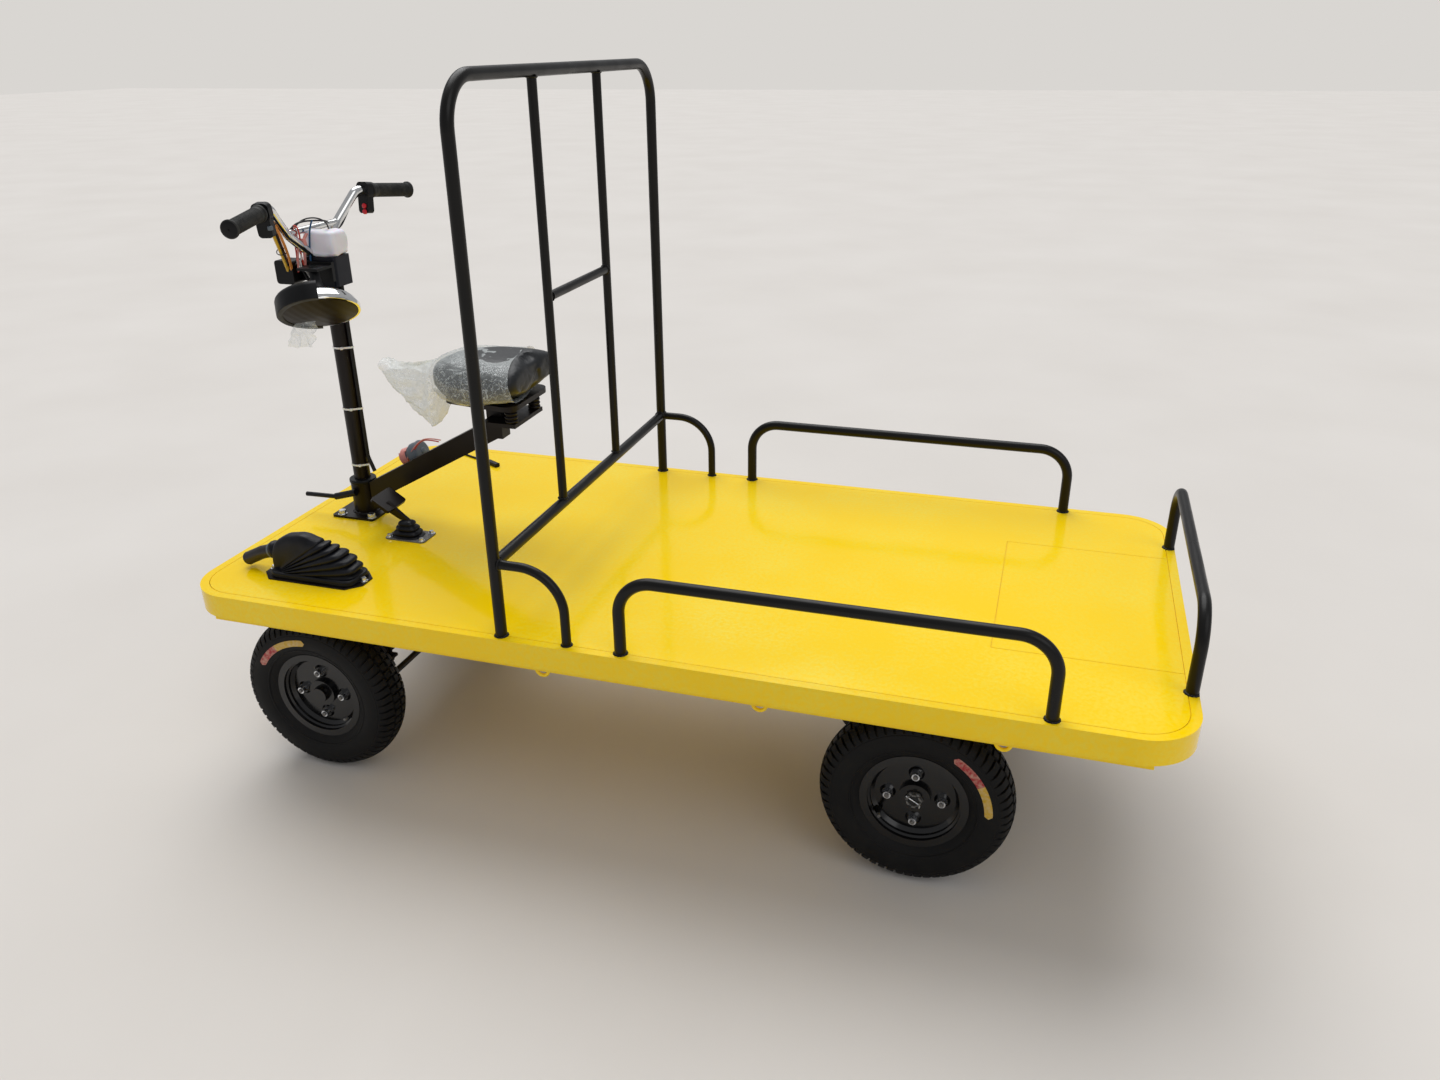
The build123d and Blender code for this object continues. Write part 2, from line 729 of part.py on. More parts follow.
# Spring clamps: two bent bolts over each spring, down past the axle through a plate with nuts
clamp_reach_y = leaf_width / 2 + clamp_bolt + clamp_gap
plate_length = seat_length_x + 2 * spring_seat_margin
plate_width = 2 * (clamp_reach_y + clamp_bolt + clamp_gap) + spring_seat_margin
with BuildPart() as spring_clamps:
    for name, axle_x, spring_y, half_depth, seat_z in spring_sets:
        clamp_reach_x = half_depth + clamp_bolt + clamp_gap
        leaf_lift = (clamp_reach_x + clamp_bolt) ** 2 / (2 * spring_radius)
        bolt_top = seat_z + leaves + leaf_lift + clamp_bolt + seat_gap
        plate_top = wheel_z - half_depth - seat_gap
        plate_low = plate_top - clamp_plate
        bolt_low = plate_low - clamp_nut_height - clamp_thread
        for sign in (1, -1):
            middle_y = sign * spring_y
            for bolt_x in (axle_x + clamp_reach_x, axle_x - clamp_reach_x):
                left_y, right_y = middle_y + clamp_reach_y, middle_y - clamp_reach_y
                bolt_points = [
                    (bolt_x, left_y, bolt_low), (bolt_x, left_y, bolt_top),
                    (bolt_x, right_y, bolt_top), (bolt_x, right_y, bolt_low),
                ]
                add(bent_tube(bolt_points, clamp_bend, clamp_bolt))
                with BuildSketch(Plane.XY.offset(plate_low)):
                    with Locations((bolt_x, left_y), (bolt_x, right_y)):
                        RegularPolygon(clamp_nut_radius, 6)
                extrude(amount=-clamp_nut_height)
            with Locations((axle_x, middle_y, plate_low)):
                Box(plate_length, plate_width, clamp_plate, align=bottom_up)
save(spring_clamps.part, "spring_clamps")

# Column housing on its base plate, with the long bearing
housing_top = base_sheet + housing_height
with BuildPart() as column_housing:
    with Locations((column_x + base_shift[0], base_shift[1], deck_top)):
        Box(base_length, base_width, base_sheet, align=bottom_up)
    fillet(column_housing.edges().filter_by(Axis.Z), base_corner)
    with Locations((column_x, 0, deck_top)):
        Cylinder(housing_radius, housing_top, align=bottom_up)
        Cylinder(column_radius + running_gap, housing_top, align=bottom_up, mode=Mode.SUBTRACT)
save(column_housing.part, "column_housing")

# Seat arm: a square tube that rises from the housing to the seat
slope = tan(radians(seat_arm_slope))
half_arm = seat_arm_height / 2
half_cut = half_arm / cos(radians(seat_arm_slope))
kink = half_arm * tan(radians(seat_arm_slope / 2))
seat_arm_end_x = column_x - seat_arm_reach
seat_arm_kink_x = column_x - seat_arm_kink
seat_arm_end_z = deck_top + seat_arm_rise
seat_arm_start_x = column_x - housing_radius - seat_gap
seat_arm_start_z = seat_arm_end_z - (seat_arm_start_x - seat_arm_kink_x) * slope
arm_low = seat_arm_end_z - half_arm
arm_top = seat_arm_end_z + half_arm
with BuildPart() as seat_arm:
    with BuildSketch(Plane.XZ.offset(-seat_arm_width / 2)):
        with BuildLine():
            Polyline(
                (seat_arm_start_x, seat_arm_start_z - half_cut), (seat_arm_kink_x - kink, arm_low),
                (seat_arm_end_x, arm_low), (seat_arm_end_x, arm_top),
                (seat_arm_kink_x + kink, arm_top), (seat_arm_start_x, seat_arm_start_z + half_cut),
                close=True,
            )
        make_face()
    extrude(amount=seat_arm_width)
save(seat_arm.part, "seat_arm")

# Seat frame: clamp post, yoke, two coil springs wound on their cores, and the pan under the saddle
seat_x = column_x - seat_setback
seat_bottom = deck_top + seat_height
pan_low = seat_bottom - seat_gap - pan_sheet
post_length = 40.0
post_width = 50.0
post_setback = 4.0
yoke_length = 90.0
yoke_width = 150.0
yoke_height = 10.0
yoke_setback = 45.0
coil_setback = 75.0
coil_y = 60.0
coil_core = 12.0
coil_radius = 15.5
coil_wire = 3.5
coil_turns = 4
coil_low = arm_top + yoke_height
coil_pitch = (pan_low - coil_low) / coil_turns
with BuildPart() as seat_frame:
    with BuildSketch(Plane.XY.offset(pan_low)):
        with Locations((seat_x, 0)):
            Trapezoid(seat_width - 2 * pan_inset, seat_length - pan_inset, saddle_taper, rotation=-90)
    extrude(amount=pan_sheet)
    fillet(seat_frame.edges().filter_by(Axis.Z), pan_corner)
    with Locations((seat_arm_kink_x - post_setback, 0, arm_top)):
        Box(post_length, post_width, pan_low - arm_top, align=bottom_up)
    with Locations((seat_x - yoke_setback, 0, arm_top)):
        Box(yoke_length, yoke_width, yoke_height, align=bottom_up)
    for sign in (1, -1):
        with Locations((seat_x - coil_setback, sign * coil_y, coil_low)):
            Cylinder(coil_core, pan_low - coil_low, align=bottom_up)
        for turn in range(coil_turns):
            with Locations((seat_x - coil_setback, sign * coil_y, coil_low + (turn + 0.5) * coil_pitch)):
                Torus(coil_radius - coil_wire, coil_wire)
save(seat_frame.part, "seat_frame")

# Saddle: a rounded cushion, narrower at the front
with BuildPart() as seat_cushion:
    with BuildSketch(Plane.XY.offset(seat_bottom)):
        with Locations((seat_x, 0)):
            Trapezoid(seat_width, seat_length, saddle_taper, rotation=-90)
    extrude(amount=seat_thickness)
    fillet(seat_cushion.edges().filter_by(Axis.Z), saddle_corner)
    fillet(seat_cushion.faces().sort_by(Axis.Z)[-1].edges(), saddle_crown)
save(seat_cushion.part, "seat_cushion")

# Clear wrapping pulled over the saddle: the loose end that stands out in front of it.
# Each section: distance in front of the saddle, middle height over its foot, width, height
wrap_sections = [
    (seat_gap, 48.0, 190.0, 84.0),
    (52.0, -12.0, 110.0, 150.0),
    (172.0, 46.0, 60.0, 30.0),
]
wrap_roundness = 0.4
seat_front_x = seat_x + seat_length / 2
with BuildPart() as seat_wrap:
    for ahead, above, wide, high in wrap_sections:
        with BuildSketch(Plane.YZ.offset(seat_front_x + ahead)):
            with Locations((0, seat_bottom + above)):
                RectangleRounded(wide, high, min(wide, high) * wrap_roundness)
    loft()
save(seat_wrap.part, "seat_wrap")

# Steering column
with BuildPart() as steering_column:
    with Locations((column_x, 0, column_bottom)):
        Cylinder(column_radius, column_top - column_bottom, align=bottom_up)
save(steering_column.part, "steering_column")

# Arm at the column's foot, with the stud that drives the drag link
with BuildPart() as pitman_arm:
    with BuildSketch(Plane.XY.offset(column_bottom)):
        with Locations((column_x - arm_length / 2, 0)):
            SlotCenterToCenter(arm_length, arm_width)
        with Locations((column_x, 0)):
            Circle(pitman_hub)
            Circle(column_radius + running_gap, mode=Mode.SUBTRACT)
    extrude(amount=pitman)
    with Locations((column_x - arm_length, 0, column_bottom)):
        Cylinder(stud_radius, link_drop + rod_eye_height / 2 + stud_stands_out, align=top_down)
save(pitman_arm.part, "pitman_arm")

# Head block at the top of the column
head_x = column_x + head_lead
head_low = column_top - head_height
with BuildPart() as column_head:
    with Locations((head_x, 0, head_low)):
        Box(head_length, head_width, head_height, align=bottom_up)
    fillet(column_head.edges().filter_by(Axis.Z), head_corner)
    with Locations((column_x, 0, head_low)):
        Cylinder(column_radius + running_gap, head_height, align=bottom_up, mode=Mode.SUBTRACT)
save(column_head.part, "column_head")

# Handlebar: two risers from a clamp, bent back to the grips, and the crossbar
crossbar_x = column_x + crossbar_lead
crossbar_z = column_top + crossbar_rise
clamp_z = column_top + bar_radius + seat_gap
riser_x = crossbar_x - riser_setback
bend_x = crossbar_x - bend_setback
bend_z = column_top + bend_rise
grip_x = column_x - grip_setback
grip_z = column_top + grip_rise
bar_halves = [
    bent_tube(
        [
            (riser_x, 0, clamp_z), (riser_x, side * clamp_y, clamp_z),
            (crossbar_x, side * crossbar_y, crossbar_z), (bend_x, side * bend_y, bend_z),
            (grip_x, side * grip_end_y, grip_z),
        ],
        bar_bends,
        bar_radius,
    )
    for side in (1, -1)
]
with BuildPart() as handlebar:
    add(bar_halves)
    with BuildSketch(Plane.XZ.offset(-crossbar_y)):
        with Locations((crossbar_x, crossbar_z)):
            Circle(crossbar_radius)
    extrude(amount=2 * crossbar_y)
save(handlebar.part, "handlebar")

# Grips over the bar's ends, each with a flange at its inner end
with BuildPart() as grips:
    for side in (1, -1):
        bar_end = Vector(grip_x, side * grip_end_y, grip_z)
        inward = (Vector(bend_x, side * bend_y, bend_z) - bar_end).normalized()
        grip_plane = Plane(origin=bar_end - inward * grip_wall_end, z_dir=inward)
        with BuildSketch(grip_plane):
            Circle(grip_radius)
        extrude(amount=grip_length)
        with BuildSketch(grip_plane.offset(grip_length - grip_flange_length)):
            Circle(grip_flange)
        extrude(amount=grip_flange_length)
        with BuildSketch(grip_plane.offset(grip_wall_end)):
            Circle(bar_radius + seat_gap)
        extrude(amount=grip_length, mode=Mode.SUBTRACT)
save(grips.part, "grips")

# Switch housings clamped on the bar beside the grips, each with a block that hangs lower
switch_length = 19.0
switch_size = 40.0
switch_corner = 12.0
block_drop = 25.0
block_width = 34.0
block_height = 62.0
block_corner = 9.0
with BuildPart() as bar_switches:
    for side in (1, -1):
        bar_end = Vector(grip_x, side * grip_end_y, grip_z)
        inward = (Vector(bend_x, side * bend_y, bend_z) - bar_end).normalized()
        switch_plane = Plane(origin=bar_end + inward * grip_length, x_dir=(1, 0, 0), z_dir=inward)
        with BuildSketch(switch_plane):
            RectangleRounded(switch_size, switch_size, switch_corner)
            with Locations((0, -side * block_drop)):
                RectangleRounded(block_width, block_height, block_corner)
        extrude(amount=switch_length)
        with BuildSketch(switch_plane):
            Circle(bar_radius + seat_gap)
        extrude(amount=switch_length, mode=Mode.SUBTRACT)
save(bar_switches.part, "bar_switches")

# Meter box on the head block, behind the bar's clamp
meter_gap = 3.0
meter_length = 55.0
meter_width = 62.0
meter_height = 52.0
meter_corner = 8.0
meter_front_x = riser_x - bar_radius - meter_gap
with BuildPart() as meter_box:
    with Locations((meter_front_x, 0, column_top)):
        Box(meter_length, meter_width, meter_height, align=(Align.MAX, Align.CENTER, Align.MIN))
    fillet(meter_box.faces().sort_by(Axis.Z)[-1].edges(), meter_corner)
save(meter_box.part, "meter_box")

# Headlight: a bowl that hangs face down beside the column, its lens turned outwards
lamp_setback = 47.0
lamp_y = 122.0
lamp_drop = 106.0
lamp_back = Vector(0.334, -0.436, 0.836)
lamp_across = Vector(0.794, 0.608, 0.0)
lamp_radius = 91.0
lamp_depth = 75.0
lamp_wall = 3.0
lamp_ring = 6.0
ring_width = 10.0
bowl_step = 3.0
bowl_shoulder = 0.78
bowl_shoulder_depth = 0.66
bowl_back = 20.0
cowl = 6.0
lamp_middle = Vector(column_x - lamp_setback, lamp_y, column_top - lamp_drop)
lamp_plane = Plane(origin=lamp_middle, x_dir=lamp_across, z_dir=lamp_back)
lamp_axis = Axis(lamp_middle, lamp_plane.z_dir)


def bowl_outline(grow):
    """The bowl's outside from the rim to the back, grown by a wall."""
    start = (lamp_radius - bowl_step + grow, lamp_ring)
    middle = (lamp_radius * bowl_shoulder + grow, lamp_depth * bowl_shoulder_depth + grow)
    end = (bowl_back, lamp_depth + grow)
    return start, middle, end
def bowl_outline(grow):
    """The bowl's outside from the rim to the back, grown by a wall."""
    start = (lamp_radius - 3.0 + grow, lamp_ring)
    middle = (lamp_radius * 0.78 + grow, lamp_depth * 0.66 + grow)
    end = (20.0, lamp_depth + grow)
    return start, middle, end


outside = bowl_outline(0.0)
inside = bowl_outline(-lamp_wall)
lamp_side = lamp_plane.x_dir.cross(lamp_plane.z_dir)
lamp_section = Plane(origin=lamp_middle, x_dir=lamp_plane.x_dir, z_dir=lamp_side)
with BuildPart() as headlight:
    with BuildSketch(lamp_section):
        with BuildLine():
            Polyline(
                inside[0], (lamp_radius - ring_width, -lamp_ring), (lamp_radius, -lamp_ring),
                (lamp_radius, lamp_ring), outside[0],
            )
            ThreePointArc(*outside)
            Polyline(outside[2], (0, lamp_depth), (0, lamp_depth - lamp_wall), inside[2])
            ThreePointArc(*reversed(inside))
        make_face()
    revolve(axis=lamp_axis)
save(headlight.part, "headlight")

# Lens, crowned outwards, seated on the lamp's ring
lens_crown = 8.0
lens_half_crown = 5.5
lens_edge = 8.0
lens_radius = lamp_radius - 6.0
lens_back = -lamp_ring - seat_gap
with BuildPart() as headlight_lens:
    with BuildSketch(lamp_section):
        with BuildLine():
            Line((0, -lamp_ring), (0, -lamp_ring - lens_crown))
            ThreePointArc(
                (0, -lamp_ring - lens_crown), (lens_radius / 2, -lamp_ring - lens_half_crown),
                (lens_radius, lens_back),
            )
            Polyline((lens_radius, lens_back), (lens_radius - lens_edge, lens_back), (0, -lamp_ring))
        make_face()
    revolve(axis=lamp_axis)
save(headlight_lens.part, "headlight_lens")

# Black cowl over the lamp's front half, with straighter walls than the bowl
cowl_rim = lamp_radius + seat_gap
cowl_outer = cowl_rim + cowl
cowl_crown = lamp_radius * 0.84
cowl_shoulder = 50.0
cowl_opening = 30.0
cowl_section = Plane(origin=lamp_middle, x_dir=lamp_side, z_dir=lamp_side.cross(lamp_plane.z_dir))
with BuildPart() as headlight_cowl:
    with BuildSketch(cowl_section):
        with BuildLine():
            Polyline(
                (cowl_rim, cowl_shoulder - cowl), (cowl_rim, 0), (cowl_outer, 0), (cowl_outer, cowl_shoulder)
            )
            ThreePointArc(
                (cowl_outer, cowl_shoulder), (cowl_crown + cowl, lamp_depth),
                (cowl_opening, lamp_depth + cowl),
            )
            Line((cowl_opening, lamp_depth + cowl), (cowl_opening, lamp_depth + seat_gap))
            ThreePointArc(
                (cowl_opening, lamp_depth + seat_gap), (cowl_crown, lamp_depth - cowl),
                (cowl_rim, cowl_shoulder - cowl),
            )
        make_face()
    revolve(axis=lamp_axis, revolution_arc=180)
save(headlight_cowl.part, "headlight_cowl")

# Lamp bracket: an ear on the head block with the switch block at its front, a shelf and the lamp's stem
ear_setback = 38.0
ear_length = 136.0
ear_sheet = 10.0
ear_height = 46.0
ear_drop = 55.0
key_block = 49.0
key_height = 56.0
key_depth = 42.0
key_corner = 8.0
shelf_drop = 21.0
shelf_length = 56.0
shelf_width = 66.0
shelf_sheet = 6.0
stem_length = 30.0
stem_radius = 12.0
ear_back_x = column_x - ear_setback
ear_y = head_width / 2 + seat_gap
ear_low = column_top - ear_drop
low_corner = (Align.MIN, Align.MIN, Align.MIN)
stem_start = lamp_middle + lamp_plane.z_dir * (lamp_depth + seat_gap)
stem = round_bar(stem_start, lamp_middle + lamp_plane.z_dir * (lamp_depth + stem_length), stem_radius)
with BuildPart() as headlight_bracket:
    with Locations((ear_back_x, ear_y, ear_low)):
        Box(ear_length, ear_sheet, ear_height, align=low_corner)
    with BuildSketch(Plane.XZ.offset(-ear_y)):
        with Locations((ear_back_x + ear_length - key_block / 2, ear_low + ear_height / 2)):
            RectangleRounded(key_block, key_height, key_corner)
    extrude(amount=-key_depth)
    with Locations((ear_back_x, ear_y, column_top - shelf_drop)):
        Box(shelf_length, shelf_width, shelf_sheet, align=low_corner)
    add(stem)
save(headlight_bracket.part, "headlight_bracket")

# Cable clipped to the back of the column, from the head block towards the seat arm
cable_radius = 5.0
cable_bend = 40.0
cable_bend_rise = 160.0
cable_end_rise = 120.0
cable_end_setback = 14.0
cable_x = column_x - column_radius - cable_radius - seat_gap
cable_points = [
    (cable_x, 0, head_low), (cable_x, 0, deck_top + cable_bend_rise),
    (cable_x - cable_end_setback, 0, deck_top + cable_end_rise),
]
save(bent_tube(cable_points, cable_bend, cable_radius), "column_cable")

# Hand brake: a lever that leaves a fan of pleats over a pointed plate
brake_inset = 157.0
brake_plate_setback = 110.5
brake_plate_length = 265.0
brake_plate_width = 100.0
brake_plate_sheet = 3.0
brake_plate_point = 30.0
plinth_length = 226.0
plinth_width = 88.0
plinth_corner = 24.0
plinth_height = 14.0
plinth_setback = 4.0
brake_y = half_width - brake_inset
brake_plate_x = column_x - brake_plate_setback
plinth_z = deck_top + brake_plate_sheet
fan_setback = 15.0
fan_drop = 8.0
fan_x = column_x - fan_setback
fan_z = plinth_z + plinth_height - fan_drop

# Each group of pleats, from the widest up: its half width, and each pleat's middle angle and reach
fan_groups = [
    (42.0, [(7.1, 211.0), (13.0, 200.0)]),
    (36.0, [(19.2, 184.0)]),
    (30.0, [(25.1, 168.0), (31.2, 156.0)]),
]
fan_half_angle = 2.2
fan_valley = 10.0
hump_half = 24.0

# Lever: where it starts in the boot, its bend and its end, from the fan's line
lever_radius = 16.0
lever_bend = 70.0
lever_points = [
    (fan_x + ahead, brake_y, fan_z + above) for ahead, above in ((-3.0, 49.5), (53.0, 33.0), (96.0, 12.0))
]
sleeve_radius = 20.5
sleeve_start = (fan_x - 14.0, brake_y, fan_z + 53.0)
sleeve_end = (fan_x + 20.0, brake_y, fan_z + 43.0)


def fan_point(angle, reach):
    """A point behind the fan's line, at an angle over the deck."""
    return fan_x - reach * cos(radians(angle)), fan_z + reach * sin(radians(angle))


def fan_group(half, pleats):
    """Ridges and valleys that fan out to the rear."""
    outline = [(fan_x, fan_z), fan_point(0.0, pleats[0][1] - fan_valley)]
    for angle, reach in pleats:
        low, high = angle - fan_half_angle, angle + fan_half_angle
        outline += [fan_point(low, reach - fan_valley), fan_point(low, reach)]
        outline += [fan_point(high, reach), fan_point(high, reach - fan_valley)]
    with BuildPart() as group:
        with BuildSketch(Plane.XZ.offset(-brake_y - half)):
            with BuildLine():
                Polyline(*outline, close=True)
            make_face()
        extrude(amount=2 * half)
    return group.part


fan = [fan_group(half, pleats) for half, pleats in fan_groups]
lever = bent_tube(lever_points, lever_bend, lever_radius)
lever_space = bent_tube(lever_points, lever_bend, lever_radius + seat_gap)
sleeve = round_bar(sleeve_start, sleeve_end, sleeve_radius)
save(lever, "hand_brake_lever")

# Hump over the lever: its points from the fan's line
hump_rear = (fan_x - 121.0, fan_z + 79.0)
hump_top = (fan_x - 77.0, fan_z + 96.0)
hump_front = (fan_x - 1.0, fan_z + 73.0)
hump_foot = (fan_x + 12.0, fan_z + 28.0)
hump_heel = (fan_x + 10.0, fan_z + 2.0)
with BuildPart() as hand_brake_boot:
    with BuildSketch(Plane.XY.offset(deck_top)) as plate_outline:
        with Locations((brake_plate_x, brake_y)):
            Rectangle(brake_plate_length, brake_plate_width)
        chamfer(plate_outline.vertices(), brake_plate_point)
    extrude(amount=brake_plate_sheet)
    with BuildSketch(Plane.XY.offset(plinth_z)):
        with Locations((brake_plate_x - plinth_setback, brake_y)):
            RectangleRounded(plinth_length, plinth_width, plinth_corner)
    extrude(amount=plinth_height)
    add(fan)
    with BuildSketch(Plane.XZ.offset(-brake_y - hump_half)):
        with BuildLine():
            Line((fan_x, fan_z), hump_rear)
            ThreePointArc(hump_rear, hump_top, hump_front)
            Polyline(hump_front, hump_foot, hump_heel, (fan_x, fan_z))
        make_face()
    extrude(amount=2 * hump_half)
    add(sleeve)
    add(lever_space, mode=Mode.SUBTRACT)
save(hand_brake_boot.part, "hand_brake_boot")

# Foot brake: a pleated boot on the deck
pedal_y = 110.0
pedal_setback = 198.0
pedal_plate_length = 112.0
pedal_plate_width = 68.0
pedal_plate_sheet = 3.0
pedal_pleat = 14.0
pedal_pleat_taper = 20.0
pleat_roundness = 0.7
# Each pleat: length, half width, and how far it lies ahead of the plate's middle
pedal_pleats = [
    (82.0, 30.0, 6.0),
    (64.0, 25.0, 6.0),
    (46.0, 20.0, 6.0),
]
pedal_x = column_x - pedal_setback
pleats_z = deck_top + pedal_plate_sheet
with BuildPart() as pedal_boot:
    with Locations((pedal_x, pedal_y, deck_top)):
        Box(pedal_plate_length, pedal_plate_width, pedal_plate_sheet, align=bottom_up)
    for row, (long, half, ahead) in enumerate(pedal_pleats):
        with BuildSketch(Plane.XY.offset(pleats_z + row * pedal_pleat)):
            with Locations((pedal_x + ahead, pedal_y)):
                RectangleRounded(long, 2 * half, half * pleat_roundness)
        extrude(amount=pedal_pleat, taper=pedal_pleat_taper)
save(pedal_boot.part, "pedal_boot")

# Foot brake arm, tapered towards its head, and its pad
arm_sheet = 10.0
arm_half_foot = 12.0
arm_half_head = 10.0
arm_head_slant = 8.0
pad_length = 84.0
pad_width = 56.0
pad_corner = 8.0
pad_thickness = 8.0
pad_shift = -12.0
pad_gap = 2.0
arm_foot_x = pedal_x + 10.0
arm_foot_z = pleats_z + len(pedal_pleats) * pedal_pleat + seat_gap
arm_head_x = pedal_x + 63.0
arm_head_z = deck_top + 82.0
with BuildPart() as brake_pedal:
    with BuildSketch(Plane.XZ.offset(-pedal_y + arm_sheet / 2)):
        with BuildLine():
            Polyline(
                (arm_foot_x - arm_half_foot, arm_foot_z), (arm_foot_x + arm_half_foot, arm_foot_z),
                (arm_head_x + arm_half_head, arm_head_z - arm_head_slant),
                (arm_head_x - arm_half_head, arm_head_z + arm_head_slant), close=True,
            )
        make_face()
    extrude(amount=-arm_sheet)
    pad_plane = Plane(origin=(arm_head_x, pedal_y, arm_head_z), x_dir=(0, 1, 0), z_dir=(-0.55, 0, 0.835))
    with BuildSketch(pad_plane.offset(pad_gap)):
        with Locations((pad_shift, 0)):
            RectangleRounded(pad_length, pad_width, pad_corner)
    extrude(amount=pad_thickness)
save(brake_pedal.part, "brake_pedal")

# Small lever beside the column housing: its points ahead of the column and over the deck
thick_radius = 9.0
thin_radius = 6.0
lever_rear = (-3.0, 71.3)
lever_step = (61.0, 53.0)
lever_tip = (151.0, 51.0)
foot_lever_y = housing_radius + seat_gap + thick_radius
rear_place, step_place, tip_place = [
    (column_x + ahead, foot_lever_y, deck_top + above) for ahead, above in (lever_rear, lever_step, lever_tip)
]
lever_parts = [
    round_bar(rear_place, step_place, thick_radius), round_bar(step_place, tip_place, thin_radius),
]
with BuildPart() as foot_lever:
    add(lever_parts)
save(foot_lever.part, "foot_lever")

# Horn on the far side of the seat arm: a wide front and a narrower back
horn_radius = 30.0
horn_back_radius = 19.0
horn_y = -(seat_arm_width / 2 + seat_gap + horn_radius)
horn_rear = (column_x - 163.0, horn_y, deck_top + 170.0)
horn_step = (column_x - 127.0, horn_y, deck_top + 156.0)
horn_front = (column_x - 101.0, horn_y, deck_top + 146.0)
horn_parts = [
    round_bar(horn_rear, horn_step, horn_radius), round_bar(horn_step, horn_front, horn_back_radius),
]
with BuildPart() as horn:
    add(horn_parts)
save(horn.part, "horn")

# Lead on the deck: a low gland, the lead and the connector at its end
gland_setback = 116.0
gland_inset = 55.0
gland_length = 24.0
gland_width = 20.0
gland_height = 12.0
gland_corner = 5.0
gland_x = half_length - gland_setback
gland_y = gland_inset - half_width
lead_radius = 3.0
lead_z = deck_top + lead_radius + seat_gap
with BuildPart() as lead_gland:
    with Locations((gland_x, gland_y, deck_top)):
        Box(gland_length, gland_width, gland_height, align=bottom_up)
    fillet(lead_gland.edges().filter_by(Axis.Z), gland_corner)
save(lead_gland.part, "lead_gland")

# Each point of the lead: distance behind the gland, distance towards the middle of the deck
lead_route_points = [(12.0, 0.0), (48.0, 0.0), (82.0, 13.0), (116.0, 29.0), (150.0, 39.0), (180.0, 55.0)]
lead_points = [(gland_x - behind, gland_y + inwards, lead_z) for behind, inwards in lead_route_points]
lead_radii = []
for before, corner, after in zip(lead_points, lead_points[1:], lead_points[2:]):
    run_in = Vector(*corner) - Vector(*before)
    run_out = Vector(*after) - Vector(*corner)
    turn = radians(run_in.get_angle(run_out))
    lead_radii.append(0.45 * min(run_in.length, run_out.length) / tan(turn / 2))
with BuildPart() as deck_lead:
    with BuildLine() as lead_route:
        lead_path = FilletPolyline(*lead_points, radius=lead_radii)
    with BuildSketch(Plane(origin=lead_path @ 0, z_dir=lead_path % 0)):
        Circle(lead_radius)
    sweep()
save(deck_lead.part, "deck_lead")
lead_section = pi * lead_radius**2
print("lead bend radii", [round(radius) for radius in lead_radii])
print("lead length", round(lead_path.length, 1), "by volume", round(deck_lead.part.volume / lead_section, 1))

# Connector that lies at the lead's end
connector_length = 46.0
connector_height = 11.0
connector_width = 16.0
connector_corner = 3.0
lead_end = Vector(*lead_points[-1])
lead_heading = (lead_end - Vector(*lead_points[-2])).normalized()
connector_start = lead_end + Vector(0, 0, connector_height / 2 + seat_gap / 2 - lead_radius)
with BuildPart() as lead_connector:
    with BuildSketch(Plane(origin=connector_start, x_dir=(0, 0, 1), z_dir=lead_heading)):
        RectangleRounded(connector_height, connector_width, connector_corner)
    extrude(amount=connector_length)
save(lead_connector.part, "lead_connector")

print("built")
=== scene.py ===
from math import acos, cos, pi, radians, sin, sqrt

import bmesh
import bpy
from mathutils import Matrix, Vector, noise


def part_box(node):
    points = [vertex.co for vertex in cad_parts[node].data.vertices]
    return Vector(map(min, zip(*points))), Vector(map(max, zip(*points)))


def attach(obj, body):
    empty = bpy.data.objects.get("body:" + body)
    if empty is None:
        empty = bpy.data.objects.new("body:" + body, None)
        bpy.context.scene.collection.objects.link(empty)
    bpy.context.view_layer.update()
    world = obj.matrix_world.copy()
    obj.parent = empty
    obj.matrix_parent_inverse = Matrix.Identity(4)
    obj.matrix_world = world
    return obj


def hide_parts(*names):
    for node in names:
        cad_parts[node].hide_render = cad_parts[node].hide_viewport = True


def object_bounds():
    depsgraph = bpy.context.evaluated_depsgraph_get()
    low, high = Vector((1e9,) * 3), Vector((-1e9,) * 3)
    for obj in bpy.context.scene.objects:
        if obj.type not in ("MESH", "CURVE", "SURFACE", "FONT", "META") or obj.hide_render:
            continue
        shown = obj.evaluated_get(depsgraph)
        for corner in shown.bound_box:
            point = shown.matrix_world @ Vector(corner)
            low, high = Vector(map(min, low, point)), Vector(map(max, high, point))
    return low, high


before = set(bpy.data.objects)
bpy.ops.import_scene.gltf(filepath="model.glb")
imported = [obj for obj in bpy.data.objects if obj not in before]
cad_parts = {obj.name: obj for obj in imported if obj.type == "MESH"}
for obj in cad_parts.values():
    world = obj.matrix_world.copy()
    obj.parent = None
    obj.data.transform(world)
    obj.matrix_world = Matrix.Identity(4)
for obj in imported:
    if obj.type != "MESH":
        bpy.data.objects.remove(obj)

cad_low, cad_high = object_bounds()
scene = bpy.context.scene
scene.view_settings.view_transform = "Standard"
mm = 0.001

# The camera of the photograph: metres and degrees, sensor 36 mm wide
camera_place = (-0.75216, 2.27283, 1.66602)
camera_yaw = radians(-17.31)
camera_pitch = radians(24.73)
camera_roll = radians(-0.60)
camera_lens = 27.09
sensor_width = 36.0

# Small sizes that the frame doesn't give, in metres
sidewall_lift = 0.5 * mm
film_lift = 2.5 * mm
saddle_voxel = 5 * mm
saddle_cap = 9 * mm
# Pitches of the tread round a tyre, and the saddle's length as a share of the frame's cushion
tyre_pitches = 60
nose_reach = 1.05


# Materials


def linear(channel):
    """One sRGB channel, 0 to 1, as the linear value that a shader takes."""
    return channel / 12.92 if channel <= 0.04045 else ((channel + 0.055) / 1.055) ** 2.4


